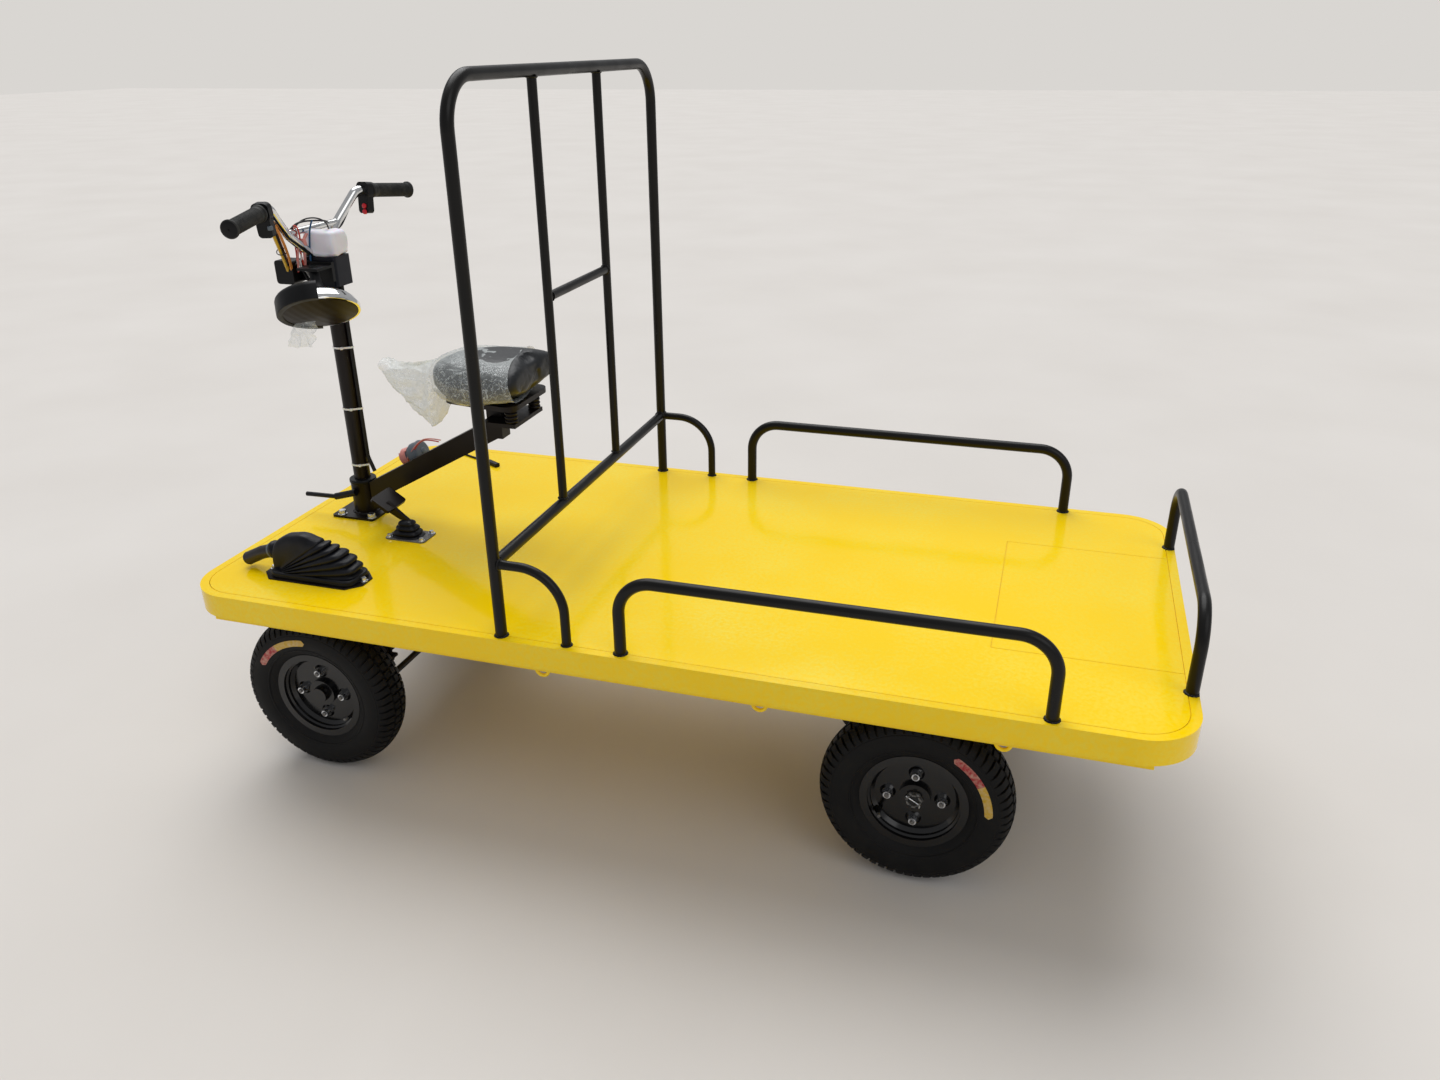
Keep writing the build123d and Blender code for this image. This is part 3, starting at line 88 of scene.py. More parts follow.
def colour(code):
    """A hex colour as linear red, green, blue and alpha."""
    return (*(linear(int(code[i:i + 2], 16) / 255) for i in (0, 2, 4)), 1.0)


def per_metre(size_mm):
    """A texture scale that makes one repeat as long as that many millimetres."""
    return 1000.0 / size_mm


def give(tree, node, values):
    """Sets a node's sockets: another node's output is linked, anything else is a value."""
    for socket, value in values.items():
        if isinstance(value, bpy.types.NodeSocket):
            tree.links.new(value, node.inputs[socket])
        else:
            node.inputs[socket].default_value = value


def add(tree, kind, values, **settings):
    """Adds a node with its settings and its sockets' values or links."""
    node = tree.nodes.new(kind)
    for name, value in settings.items():
        setattr(node, name, value)
    give(tree, node, values)
    return node


def start(name, values):
    """A new material: gives it, its node tree, its shader and the place on the piece in metres."""
    material = bpy.data.materials.new(name)
    material.use_nodes = True
    tree = material.node_tree
    shader = tree.nodes["Principled BSDF"]
    give(tree, shader, values)
    place = add(tree, "ShaderNodeTexCoord", {}).outputs["Object"]
    return material, tree, shader, place


def yellow_enamel():
    """Gloss enamel sprayed on sheet steel: a deep wet shine, broken by fine orange peel,
    by the slow waves of the thin sheet and by a thin veil of dust."""
    material, tree, shader, place = start("yellow_enamel", {
        "IOR": 1.52, "Specular IOR Level": 0.30, "Coat Weight": 0.10, "Coat Roughness": 0.06,
    })
    waves = add(tree, "ShaderNodeTexNoise", {"Vector": place, "Scale": per_metre(170), "Detail": 1.0})
    peel = add(tree, "ShaderNodeTexNoise", {"Vector": place, "Scale": per_metre(6), "Detail": 1.0})
    veil = add(tree, "ShaderNodeTexNoise", {"Vector": place, "Scale": per_metre(260), "Detail": 6.0})
    specks = add(tree, "ShaderNodeTexNoise", {"Vector": place, "Scale": per_metre(9), "Detail": 4.0})
    dust = add(tree, "ShaderNodeMath", {
        0: veil.outputs["Fac"], 1: specks.outputs["Fac"],
    }, operation="MULTIPLY")
    tone = add(tree, "ShaderNodeValToRGB", {"Fac": dust.outputs[0]})
    tone.color_ramp.elements[0].position = 0.18
    tone.color_ramp.elements[0].color = colour("ffd500")
    tone.color_ramp.elements[1].position = 0.42
    tone.color_ramp.elements[1].color = colour("fbdc34")
    rough = add(tree, "ShaderNodeMapRange", {"Value": dust.outputs[0], "From Min": 0.15, "From Max": 0.45})
    give(tree, rough, {"To Min": 0.11, "To Max": 0.22})
    sheet = add(tree, "ShaderNodeBump", {
        "Height": waves.outputs["Fac"], "Distance": 0.9 * mm, "Strength": 1.0,
    })
    skin = add(tree, "ShaderNodeBump", {
        "Height": peel.outputs["Fac"], "Distance": 0.02 * mm, "Strength": 1.0,
    })
    give(tree, skin, {"Normal": sheet.outputs["Normal"]})
    give(tree, shader, {
        "Base Color": tone.outputs["Color"], "Roughness": rough.outputs["Result"],
        "Normal": skin.outputs["Normal"],
    })
    return material


def black_paint(name, code, roughness, grain_mm, grain_height_mm, mirror, coat):
    """Black paint on steel: powder coat shows a fine pebble and a soft sheen along the tube,
    brushed enamel a smoother and browner one. Handling leaves slightly duller patches."""
    material, tree, shader, place = start(name, {
        "Base Color": colour(code), "IOR": 1.5, "Specular IOR Level": mirror, "Coat Weight": coat,
        "Coat Roughness": 0.2,
    })
    grain = add(tree, "ShaderNodeTexNoise", {"Vector": place, "Scale": per_metre(grain_mm), "Detail": 2.0})
    patches = add(tree, "ShaderNodeTexNoise", {"Vector": place, "Scale": per_metre(60), "Detail": 5.0})
    rough = add(tree, "ShaderNodeMapRange", {
        "Value": patches.outputs["Fac"], "From Min": 0.3, "From Max": 0.7,
    })
    give(tree, rough, {"To Min": roughness - 0.06, "To Max": roughness + 0.1})
    skin = add(tree, "ShaderNodeBump", {"Height": grain.outputs["Fac"], "Distance": grain_height_mm * mm})
    give(tree, shader, {"Roughness": rough.outputs["Result"], "Normal": skin.outputs["Normal"]})
    return material


def rubber(name, code, dusty_code, roughness, grain_mm, mirror):
    """Moulded rubber: nearly matt, with a fine grain and pale dust that settles unevenly."""
    material, tree, shader, place = start(name, {"IOR": 1.52, "Specular IOR Level": mirror})
    dust = add(tree, "ShaderNodeTexNoise", {
        "Vector": place, "Scale": per_metre(40), "Detail": 8.0, "Roughness": 0.65,
    })
    tone = add(tree, "ShaderNodeValToRGB", {"Fac": dust.outputs["Fac"]})
    tone.color_ramp.elements[0].position = 0.45
    tone.color_ramp.elements[0].color = colour(code)
    tone.color_ramp.elements[1].position = 0.8
    tone.color_ramp.elements[1].color = colour(dusty_code)
    grain = add(tree, "ShaderNodeTexNoise", {"Vector": place, "Scale": per_metre(grain_mm), "Detail": 3.0})
    rough = add(tree, "ShaderNodeMapRange", {"Value": dust.outputs["Fac"], "From Min": 0.3, "From Max": 0.7})
    give(tree, rough, {"To Min": roughness - 0.08, "To Max": roughness + 0.1})
    skin = add(tree, "ShaderNodeBump", {
        "Height": grain.outputs["Fac"], "Distance": 0.08 * mm, "Strength": 0.7,
    })
    give(tree, shader, {
        "Base Color": tone.outputs["Color"], "Roughness": rough.outputs["Result"],
        "Normal": skin.outputs["Normal"],
    })
    return material


def plated(name, code, second_code, roughness, cloud_mm):
    """Plating on steel, chrome or zinc: mirror bright or cloudy, with a faint stain between two tints."""
    material, tree, shader, place = start(name, {"Metallic": 1.0})
    cloud = add(tree, "ShaderNodeTexNoise", {"Vector": place, "Scale": per_metre(cloud_mm), "Detail": 4.0})
    tone = add(tree, "ShaderNodeValToRGB", {"Fac": cloud.outputs["Fac"]})
    tone.color_ramp.elements[0].position = 0.35
    tone.color_ramp.elements[0].color = colour(code)
    tone.color_ramp.elements[1].position = 0.7
    tone.color_ramp.elements[1].color = colour(second_code)
    rough = add(tree, "ShaderNodeMapRange", {"Value": cloud.outputs["Fac"], "From Min": 0.3, "From Max": 0.7})
    give(tree, rough, {"To Min": roughness, "To Max": roughness * 1.8})
    give(tree, shader, {"Base Color": tone.outputs["Color"], "Roughness": rough.outputs["Result"]})
    return material


def saddle_vinyl():
    """Calendered vinyl over foam: black with a blue cast, an embossed leather grain and a soft sheen."""
    material, tree, shader, place = start("saddle_vinyl", {
        "Base Color": colour("15181c"), "IOR": 1.5, "Specular IOR Level": 0.40,
    })
    grain = add(tree, "ShaderNodeTexVoronoi", {
        "Vector": place, "Scale": per_metre(1.8),
    }, feature="DISTANCE_TO_EDGE")
    creases = add(tree, "ShaderNodeTexNoise", {"Vector": place, "Scale": per_metre(35), "Detail": 3.0})
    fine = add(tree, "ShaderNodeBump", {
        "Height": grain.outputs["Distance"], "Distance": 0.15 * mm, "Strength": 0.6,
    })
    broad = add(tree, "ShaderNodeBump", {
        "Height": creases.outputs["Fac"], "Distance": 1.5 * mm, "Strength": 0.4,
    })
    give(tree, broad, {"Normal": fine.outputs["Normal"]})
    rough = add(tree, "ShaderNodeMapRange", {"Value": creases.outputs["Fac"], "To Min": 0.34, "To Max": 0.52})
    give(tree, shader, {"Roughness": rough.outputs["Result"], "Normal": broad.outputs["Normal"]})
    return material


def polythene(name, code):
    """Thin blown polythene: clear where it lies on the saddle and milky where it hangs loose,
    whiter where it is seen along its surface, with sharp streaks of light on every crease."""
    material, tree, shader, place = start(name, {"Base Color": colour(code), "Roughness": 0.14, "IOR": 1.5})
    creases = add(tree, "ShaderNodeTexNoise", {
        "Vector": place, "Scale": per_metre(24), "Detail": 5.0, "Distortion": 1.6,
    })
    skin = add(tree, "ShaderNodeBump", {
        "Height": creases.outputs["Fac"], "Distance": 3.0 * mm, "Strength": 0.8,
    })
    # Painted highlights: whiter, more opaque lines stand for the streaks of light on the folds, where stacked
    # layers also look white
    painted_highlight_folds = add(tree, "ShaderNodeTexNoise", {
        "Vector": place, "Scale": per_metre(19), "Detail": 2.0, "Distortion": 1.6,
    })
    middle = add(tree, "ShaderNodeMath", {0: painted_highlight_folds.outputs["Fac"], 1: 0.5}, operation="SUBTRACT")
    near = add(tree, "ShaderNodeMath", {0: middle.outputs[0]}, operation="ABSOLUTE")
    crease_highlight = add(tree, "ShaderNodeMapRange", {"Value": near.outputs[0], "From Max": 0.045})
    give(tree, crease_highlight, {"To Min": 0.7, "To Max": 0.0})
    edge = add(tree, "ShaderNodeLayerWeight", {"Blend": 0.30, "Normal": skin.outputs["Normal"]})
    along = add(tree, "ShaderNodeSeparateXYZ", {"Vector": place})
    loose = add(tree, "ShaderNodeMapRange", {"Value": along.outputs["X"], "From Min": 0.63, "From Max": 0.68})
    give(tree, loose, {"To Min": 0.09, "To Max": 0.26})
    cover = add(tree, "ShaderNodeMapRange", {"Value": edge.outputs["Facing"]})
    give(tree, cover, {"To Min": loose.outputs["Result"], "To Max": 0.72})
    seen = add(tree, "ShaderNodeMath", {
        0: cover.outputs["Result"], 1: crease_highlight.outputs["Result"],
    }, operation="MAXIMUM")
    give(tree, shader, {"Alpha": seen.outputs[0], "Normal": skin.outputs["Normal"]})
    return material


def moulded(name, code, roughness, grain_mm=1.2, depth_mm=0.05, subsurface=0.0, mirror=0.5):
    """Injection moulded plastic: even in colour, with the tool's fine spark texture and slight wear."""
    material, tree, shader, place = start(name, {
        "Base Color": colour(code), "IOR": 1.49, "Specular IOR Level": mirror,
        "Subsurface Weight": subsurface, "Subsurface Scale": 2 * mm,
    })
    grain = add(tree, "ShaderNodeTexNoise", {"Vector": place, "Scale": per_metre(grain_mm), "Detail": 2.0})
    wear = add(tree, "ShaderNodeTexNoise", {"Vector": place, "Scale": per_metre(30), "Detail": 4.0})
    rough = add(tree, "ShaderNodeMapRange", {"Value": wear.outputs["Fac"], "From Min": 0.3, "From Max": 0.7})
    give(tree, rough, {"To Min": roughness - 0.05, "To Max": roughness + 0.08})
    skin = add(tree, "ShaderNodeBump", {"Height": grain.outputs["Fac"], "Distance": depth_mm * mm})
    give(tree, shader, {"Roughness": rough.outputs["Result"], "Normal": skin.outputs["Normal"]})
    return material


def lamp_lens_painted_dark():
    """Pressed glass with fine vertical ribs, coloured dark brown and nearly opaque: painted shade and painted
    dark reflection over the chrome bowl.
    """
    # The dark brown, nearly opaque colour is painted shade and painted dark reflection, not the clear glass's
    # own colour
    material, tree, shader, place = start("lamp_lens_painted_dark", {
        "Base Color": colour("1d1712"), "IOR": 1.52, "Specular IOR Level": 0.12, "Roughness": 0.4,
        "Alpha": 0.96,
    })
    ribs = add(tree, "ShaderNodeTexWave", {"Vector": place, "Scale": per_metre(60), "Distortion": 0.0})
    skin = add(tree, "ShaderNodeBump", {"Height": ribs.outputs["Fac"], "Distance": 0.5 * mm, "Strength": 0.5})
    give(tree, shader, {"Normal": skin.outputs["Normal"]})
    return material


def sticker(name, code):
    """Printed paper label, glossy and a little scuffed, with nothing on it."""
    material, tree, shader, place = start(name, {"IOR": 1.48})
    scuffs = add(tree, "ShaderNodeTexNoise", {"Vector": place, "Scale": per_metre(7), "Detail": 6.0})
    tone = add(tree, "ShaderNodeValToRGB", {"Fac": scuffs.outputs["Fac"]})
    tone.color_ramp.elements[0].position = 0.35
    tone.color_ramp.elements[0].color = colour(code)
    tone.color_ramp.elements[1].position = 1.0
    tone.color_ramp.elements[1].color = colour("cdbfa6")
    rough = add(tree, "ShaderNodeMapRange", {"Value": scuffs.outputs["Fac"], "To Min": 0.25, "To Max": 0.6})
    give(tree, shader, {"Base Color": tone.outputs["Color"], "Roughness": rough.outputs["Result"]})
    return material


def painted_floor():
    """A plain pale concrete floor."""
    material, tree, shader, place = start("pale_floor", {"Roughness": 0.85})
    cloud = add(tree, "ShaderNodeTexNoise", {"Vector": place, "Scale": per_metre(900), "Detail": 6.0})
    tone = add(tree, "ShaderNodeValToRGB", {"Fac": cloud.outputs["Fac"]})
    tone.color_ramp.elements[0].color = colour("cfcac4")
    tone.color_ramp.elements[1].color = colour("dbd7d2")
    give(tree, shader, {"Base Color": tone.outputs["Color"]})
    return material


enamel = yellow_enamel()
# Paints: hex colour, roughness, grain and its height in millimetres, how much they mirror of the
# pale room, and clear coat
powder = black_paint("black_powder_coat", "0c0b0a", 0.32, 1.2, 0.05, 0.22, 0.05)
steel_paint = black_paint("black_enamel_on_steel", "110a08", 0.36, 2.5, 0.06, 0.22, 0.05)
rim_gloss = black_paint("gloss_black_rim_enamel", "060607", 0.14, 5.0, 0.02, 0.40, 0.20)
cast_iron = black_paint("painted_casting", "121213", 0.6, 3.0, 0.3, 0.5, 0.0)
# Rubbers: hex colours clean and dusty, roughness, grain in millimetres, how much they mirror
tyre_rubber = rubber("tyre_rubber", "0a0a0b", "1b1a18", 0.6, 1.5, 0.20)
boot_rubber = rubber("bellows_rubber", "0c0d12", "1c1e25", 0.36, 0.9, 0.22)
grip_rubber = rubber("grip_rubber", "202121", "4c4c49", 0.6, 0.8, 0.25)
sheath = rubber("cable_sheath", "121213", "1f1f20", 0.5, 2.0, 0.30)
# Metals: two hex tints, roughness, size of the clouds in millimetres
chrome = plated("chrome_plate", "e4e4e2", "d5d6d6", 0.06, 40)
zinc = plated("bright_zinc", "e2e4e8", "c3c7cc", 0.2, 5)
dull_steel = plated("rough_turned_steel", "8b8a88", "6a6866", 0.45, 3)
vinyl = saddle_vinyl()
bag_film = polythene("bag_polythene", "e3e9e8")
# Plastics: hex colour and roughness, then the grain and its depth in millimetres and the light
# that goes in, where they differ from the usual
black_plastic = moulded("black_abs", "0c0d0f", 0.42, mirror=0.22)
grey_plastic = moulded("blue_grey_abs", "5a646e", 0.5)
navy_plastic = moulded("navy_black_abs", "10131d", 0.36, mirror=0.22)
lever_plastic = moulded("brown_black_pvc", "1c1719", 0.38)
red_plastic = moulded("red_abs", "c8172c", 0.3)
white_nylon = moulded("white_nylon", "e8e8e6", 0.4, 1.5, 0.03, 0.1)
white_foam = moulded("white_foam_sheet", "ebe9f2", 0.55, 3.0, 0.4, 0.3)
battery_case = moulded("battery_polypropylene", "1d1e21", 0.5)
# The lamp lens: dark brown and nearly opaque, painted shade and painted dark reflection in place of a clear
# lens
dark_painted_lens = lamp_lens_painted_dark()
label_red = sticker("red_label", "a31c26")
label_yellow = sticker("yellow_label", "c79f1a")
wire_colours = {
    "red": "c23a2b", "orange": "d3873a", "yellow": "d6ab2c", "blue": "1f4f78", "white": "dddcd8",
    "brown": "5c3a22", "pink": "d98f86", "black": "141415",
}
wire_finishes = {name: moulded(f"{name}_pvc", code, 0.4) for name, code in wire_colours.items()}

# Each CAD node that stays: its finish
node_finishes = {
    "deck_frame": enamel, "deck_plate": enamel, "hatch_lid": enamel, "side_tubes": enamel,
    "end_beams": enamel, "long_rails": enamel, "cross_tubes": enamel,
    "battery_tray": steel_paint, "battery": battery_case,
    "headboard_hoop": powder, "headboard_bars": powder, "headboard_braces": powder,
    "side_rail_left": powder, "side_rail_right": powder, "rear_rail": powder,
    "front_axle": steel_paint, "knuckle_left": steel_paint, "knuckle_right": steel_paint,
    "tie_rod": steel_paint, "drag_link": steel_paint, "pitman_arm": steel_paint,
    "rear_axle": cast_iron, "drive_motor": cast_iron, "front_springs": steel_paint,
    "rear_springs": steel_paint, "spring_hangers": steel_paint,
    "column_housing": steel_paint, "seat_arm": steel_paint, "steering_column": steel_paint,
    "seat_frame": steel_paint, "column_head": navy_plastic, "handlebar": chrome,
    "bar_switches": black_plastic, "headlight_bracket": black_plastic, "headlight_lens": dark_painted_lens,
    "column_cable": sheath, "hand_brake_lever": lever_plastic,
    "brake_pedal": steel_paint, "foot_lever": boot_rubber,
    "spring_clamps": steel_paint, "lead_gland": black_plastic, "lead_connector": black_plastic,
}
corners = ("front_left", "front_right", "rear_left", "rear_right")
for corner in corners:
    node_finishes[f"rim_{corner}"] = rim_gloss
for node, material in node_finishes.items():
    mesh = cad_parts[node].data
    mesh.materials.clear()
    mesh.materials.append(material)


# Shapes: each is a list of points and a list of faces, in metres in the cart's frame


def grid_faces(rows, columns, close_rows=False, close_columns=True):
    """Faces of a grid of points, row by row; a closed direction joins its end to its start."""
    faces = []
    for i in range(rows if close_rows else rows - 1):
        for j in range(columns if close_columns else columns - 1):
            after_i = (i + 1) % rows
            after_j = (j + 1) % columns
            faces.append((
                i * columns + j, i * columns + after_j, after_i * columns + after_j, after_i * columns + j,
            ))
    return faces


def joined(shapes):
    """Several shapes as one."""
    points = []
    faces = []
    for shape_points, shape_faces in shapes:
        shift = len(points)
        points.extend(shape_points)
        faces.extend(tuple(index + shift for index in face) for face in shape_faces)
    return points, faces


def capped(points, columns):
    """Rings of points, one after another, as a closed shape with flat ends."""
    rows = len(points) // columns
    faces = grid_faces(rows, columns)
    faces.append(tuple(reversed(range(columns))))
    faces.append(tuple(range((rows - 1) * columns, rows * columns)))
    return points, faces


def between(table, value):
    """The numbers at a value, between the rows of a table whose first column rises."""
    for before, after in zip(table, table[1:]):
        if value <= after[0]:
            share = (value - before[0]) / (after[0] - before[0])
            share = max(0.0, min(1.0, share))
            return [a + (b - a) * share for a, b in zip(before[1:], after[1:])]
    return list(table[-1][1:])


def squarer(value, power):
    """A sine or cosine with its sign kept, drawn squarer by a power under 1."""
    return abs(value) ** power * (1 if value > 0 else -1)


def turned_frame(axis, toward=None):
    """Two directions square to an axis, the first as near to toward as it can be, and the axis."""
    along = Vector(axis).normalized()
    lead = Vector(toward) if toward else along.orthogonal()
    first = (lead - along * along.dot(lead)).normalized()
    return first, along.cross(first), along


def lathe(profile, place, axis, steps):
    """A turned shape, closed at both ends, from (radius, height) pairs in millimetres."""
    u, v, w = turned_frame(axis)
    points = []
    for radius, height in profile:
        for step in range(steps):
            angle = 2 * pi * step / steps
            out = u * cos(angle) + v * sin(angle)
            points.append(Vector(place) + out * (radius * mm) + w * (height * mm))
    return capped(points, steps)


def ring_shape(place, axis, radius, wire, steps, wire_steps):
    """A closed ring of round wire."""
    u, v, w = turned_frame(axis)
    points = []
    for step in range(steps):
        angle = 2 * pi * step / steps
        out = u * cos(angle) + v * sin(angle)
        for part in range(wire_steps):
            turn = 2 * pi * part / wire_steps
            points.append(Vector(place) + out * (radius + wire * cos(turn)) + w * wire * sin(turn))
    return points, grid_faces(steps, wire_steps, close_rows=True)


def nut_shape(place, axis, flats, height, toward=None):
    """A hexagon nut or bolt head, sized in millimetres, its corners cut by a cone at each end."""
    u, v, w = turned_frame(axis, toward)
    corner = flats / 2 / cos(pi / 6)
    rows = [(0.0, 0.53 * flats), (0.12 * height, corner), (0.80 * height, corner), (height, 0.49 * flats)]
    steps = 48
    points = []
    for rise, cone in rows:
        for step in range(steps):
            angle = 2 * pi * step / steps
            reach = min(cone, flats / 2 / cos(angle % (pi / 3) - pi / 6)) * mm
            points.append(Vector(place) + (u * cos(angle) + v * sin(angle)) * reach + w * (rise * mm))
    return capped(points, steps)


def bolt_shape(place, axis, flats, height, washer):
    """A bolt head on its round washer, sized in millimetres."""
    sheet = 1.6
    disc = lathe([(washer, 0), (washer, 0.8 * sheet), (washer - 0.4, sheet)], place, axis, 32)
    seat = Vector(place) + Vector(axis).normalized() * (sheet * mm)
    return joined([disc, nut_shape(seat, axis, flats, height)])


def rounded_block(place, across, up, half, roundness=0.4, rows=14, columns=28):
    """A block with rounded edges: half its size across, square to that, and up."""
    w = Vector(up).normalized()
    u = (Vector(across) - w * w.dot(Vector(across))).normalized()
    v = w.cross(u)
    points = []
    for row in range(rows + 1):
        tilt = -pi / 2 + pi * (row + 0.02) / (rows + 0.04)
        level = squarer(sin(tilt), roundness)
        spread = abs(cos(tilt)) ** roundness
        for column in range(columns):
            angle = 2 * pi * (column + 0.5) / columns
            x = squarer(cos(angle), roundness) * spread
            y = squarer(sin(angle), roundness) * spread
            points.append(Vector(place) + u * (half[0] * x) + v * (half[1] * y) + w * (half[2] * level))
    return capped(points, columns)


def weld_ring(place, axis, radius, size):
    """The bead round a tube's foot, laid in short overlapping runs."""
    u, v, w = turned_frame(axis)
    steps = 72
    # The bead's section in shares of its size: out from the tube, and along it
    section = [
        (-0.2, -0.2), (1.0, -0.2), (1.0, 0.1), (0.82, 0.45), (0.5, 0.72), (0.2, 0.95), (-0.2, 1.0),
    ]
    points = []
    for out, rise in section:
        for step in range(steps):
            angle = 2 * pi * step / steps
            run = size * (0.85 + 0.25 * abs(sin(6.5 * angle + 3 * radius / mm)))
            points.append(
                Vector(place) + (u * cos(angle) + v * sin(angle)) * (radius + out * run) + w * (rise * run)
            )
    return points, grid_faces(len(section), steps, close_rows=True)


def piece(name, shape, body, material, sharp=35.0):
    """A mesh piece that rides on a body, smooth but for its sharp edges."""
    mesh = bpy.data.meshes.new(name)
    mesh.from_pydata(shape[0], [], shape[1])
    shell = bmesh.new()
    shell.from_mesh(mesh)
    bmesh.ops.recalc_face_normals(shell, faces=shell.faces)
    shell.to_mesh(mesh)
    shell.free()
    mesh.shade_smooth()
    mesh.set_sharp_from_angle(angle=radians(sharp))
    mesh.materials.append(material)
    made = bpy.data.objects.new(name, mesh)
    scene.collection.objects.link(made)
    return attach(made, body)


def strand(name, points, radius, body, material):
    """A round wire on one smooth line through its control points."""
    curve = bpy.data.curves.new(name, "CURVE")
    curve.dimensions = "3D"
    curve.bevel_depth = radius
    curve.bevel_resolution = 3
    curve.use_fill_caps = True
    spline = curve.splines.new("NURBS")
    spline.points.add(len(points) - 1)
    for control, point in zip(spline.points, points):
        control.co = (*point, 1.0)
    spline.order_u = 3
    spline.use_endpoint_u = True
    spline.resolution_u = 8
    curve.materials.append(material)
    made = bpy.data.objects.new(name, curve)
    scene.collection.objects.link(made)
    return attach(made, body)


# Camera, light and floor


def make_camera():
    """The camera looks down and across the deck from behind its left side."""
    forward = Vector((
        -sin(camera_yaw) * cos(camera_pitch), -cos(camera_yaw) * cos(camera_pitch), -sin(camera_pitch),
    ))
    level = Vector((-cos(camera_yaw), sin(camera_yaw), 0.0))
    upright = level.cross(forward)
    right = cos(camera_roll) * level + sin(camera_roll) * upright
    up = cos(camera_roll) * upright - sin(camera_roll) * level
    lens = bpy.data.cameras.new("camera")
    lens.lens = camera_lens
    lens.sensor_width = sensor_width
    camera = bpy.data.objects.new("camera", lens)
    turn = Matrix((right, up, -forward)).transposed().to_4x4()
    camera.matrix_world = Matrix.Translation(camera_place) @ turn
    scene.collection.objects.link(camera)
    scene.camera = camera


def make_light():
    """An even pale world, a broad soft light from above and behind the far side, and a weaker one
    from the near rear corner."""
    world = bpy.data.worlds.new("studio")
    scene.world = world
    world.use_nodes = True
    tree = world.node_tree
    tree.nodes.clear()
    paths = add(tree, "ShaderNodeLightPath", {})
    seen = add(tree, "ShaderNodeMath", {
        0: paths.outputs["Is Camera Ray"], 1: paths.outputs["Is Transmission Ray"],
    }, operation="MAXIMUM")
    backdrop = add(tree, "ShaderNodeBackground", {"Color": colour("d9d6d2"), "Strength": 1.0})
    sky = add(tree, "ShaderNodeBackground", {"Color": colour("f6f7fa"), "Strength": 0.42})
    mixed = add(tree, "ShaderNodeMixShader", {0: seen.outputs[0], 1: sky.outputs[0], 2: backdrop.outputs[0]})
    add(tree, "ShaderNodeOutputWorld", {"Surface": mixed.outputs[0]})
    # Each light: where it comes from, how wide it is in degrees, and its strength
    lights = [((0.25, -0.50, 1.0), 56.0, 2.15), ((-0.9, 0.6, 0.9), 44.0, 0.50)]
    for number, (source, width, strength) in enumerate(lights):
        lamp = bpy.data.lights.new(f"soft_light_{number}", "SUN")
        lamp.angle = radians(width)
        lamp.energy = strength
        made = bpy.data.objects.new(f"soft_light_{number}", lamp)
        made.rotation_euler = Vector(source).to_track_quat("Z", "Y").to_euler()
        scene.collection.objects.link(made)


def make_floor():
    """A wide level floor, which isn't part of the cart."""
    half = 40.0
    mesh = bpy.data.meshes.new("floor")
    floor_corners = [(-half, -half, 0), (half, -half, 0), (half, half, 0), (-half, half, 0)]
    mesh.from_pydata(floor_corners, [], [(0, 1, 2, 3)])
    mesh.materials.append(painted_floor())
    floor = bpy.data.objects.new("floor", mesh)
    scene.collection.objects.link(floor)


make_camera()
make_light()
make_floor()


# Lead on the deck: the control points that the frame's lead was made from


def make_deck_lead():
    """A thin lead that runs from its low gland to a small connector."""
    gland_x = 0.984
    lead_z = 0.5333
    route = [
        (gland_x - 0.012, -0.470, lead_z), (0.936, -0.470, lead_z), (0.902, -0.457, lead_z),
        (0.868, -0.441, lead_z), (0.834, -0.431, lead_z), (0.804, -0.415, lead_z),
    ]
    lead = strand("deck_lead_line", route, 3 * mm, "chassis", sheath)
    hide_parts("deck_lead")


make_deck_lead()


# Places that the details below are set from, in metres
deck_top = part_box("deck_plate")[1].z
column_low, column_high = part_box("steering_column")
column_x = (column_low.x + column_high.x) / 2
column_top = column_high.z
column_radius = (column_high.x - column_low.x) / 2
seat_post_x = column_x - 0.413
seat_spring_x = seat_post_x - 0.075
upright_half = 0.1625


# Wheels


# Half of the tread's width in millimetres
tread_half = 43.5


def tyre_rows():
    """Half of the tyre's section from the tread's middle to the bead: radius, distance from the
    middle and depth of the cut there in millimetres, and the row of blocks that it belongs to."""
    crown = 207.5
    curve = 15.0 / tread_half**2

    def tread(across, cut, row):
        return crown - curve * across**2, across, cut, row

    return [
        tread(0.0, 7.0, "channel"), tread(2.2, 7.0, "channel"), tread(3.2, 5.5, "middle"),
        tread(11.0, 5.5, "middle"), tread(18.5, 5.5, "middle"), tread(19.5, 7.0, "channel"),
        tread(22.5, 7.0, "channel"), tread(23.5, 6.5, "shoulder"), tread(33.0, 6.5, "shoulder"),
        tread(42.0, 6.5, "shoulder"), (189.5, 45.0, 5.0, "shoulder"), (183.0, 48.6, 3.5, "shoulder"),
        (178.0, 50.6, 0.0, "plain"), (175.5, 50.4, 0.0, "plain"), (174.0, 51.6, 0.0, "plain"),
        (164.0, 53.2, 0.0, "plain"), (152.5, 53.4, 0.0, "plain"), (142.0, 51.6, 0.0, "plain"),
        (136.0, 49.4, 0.0, "plain"), (134.6, 50.2, 0.0, "plain"), (132.4, 49.2, 0.0, "plain"),
        (131.0, 47.0, 0.0, "plain"), (127.0, 45.2, 0.0, "plain"), (122.0, 42.0, 0.0, "plain"),
        (117.5, 38.4, 0.0, "plain"), (112.0, 34.0, 0.0, "plain"), (102.5, 33.0, 0.0, "plain"),
    ]


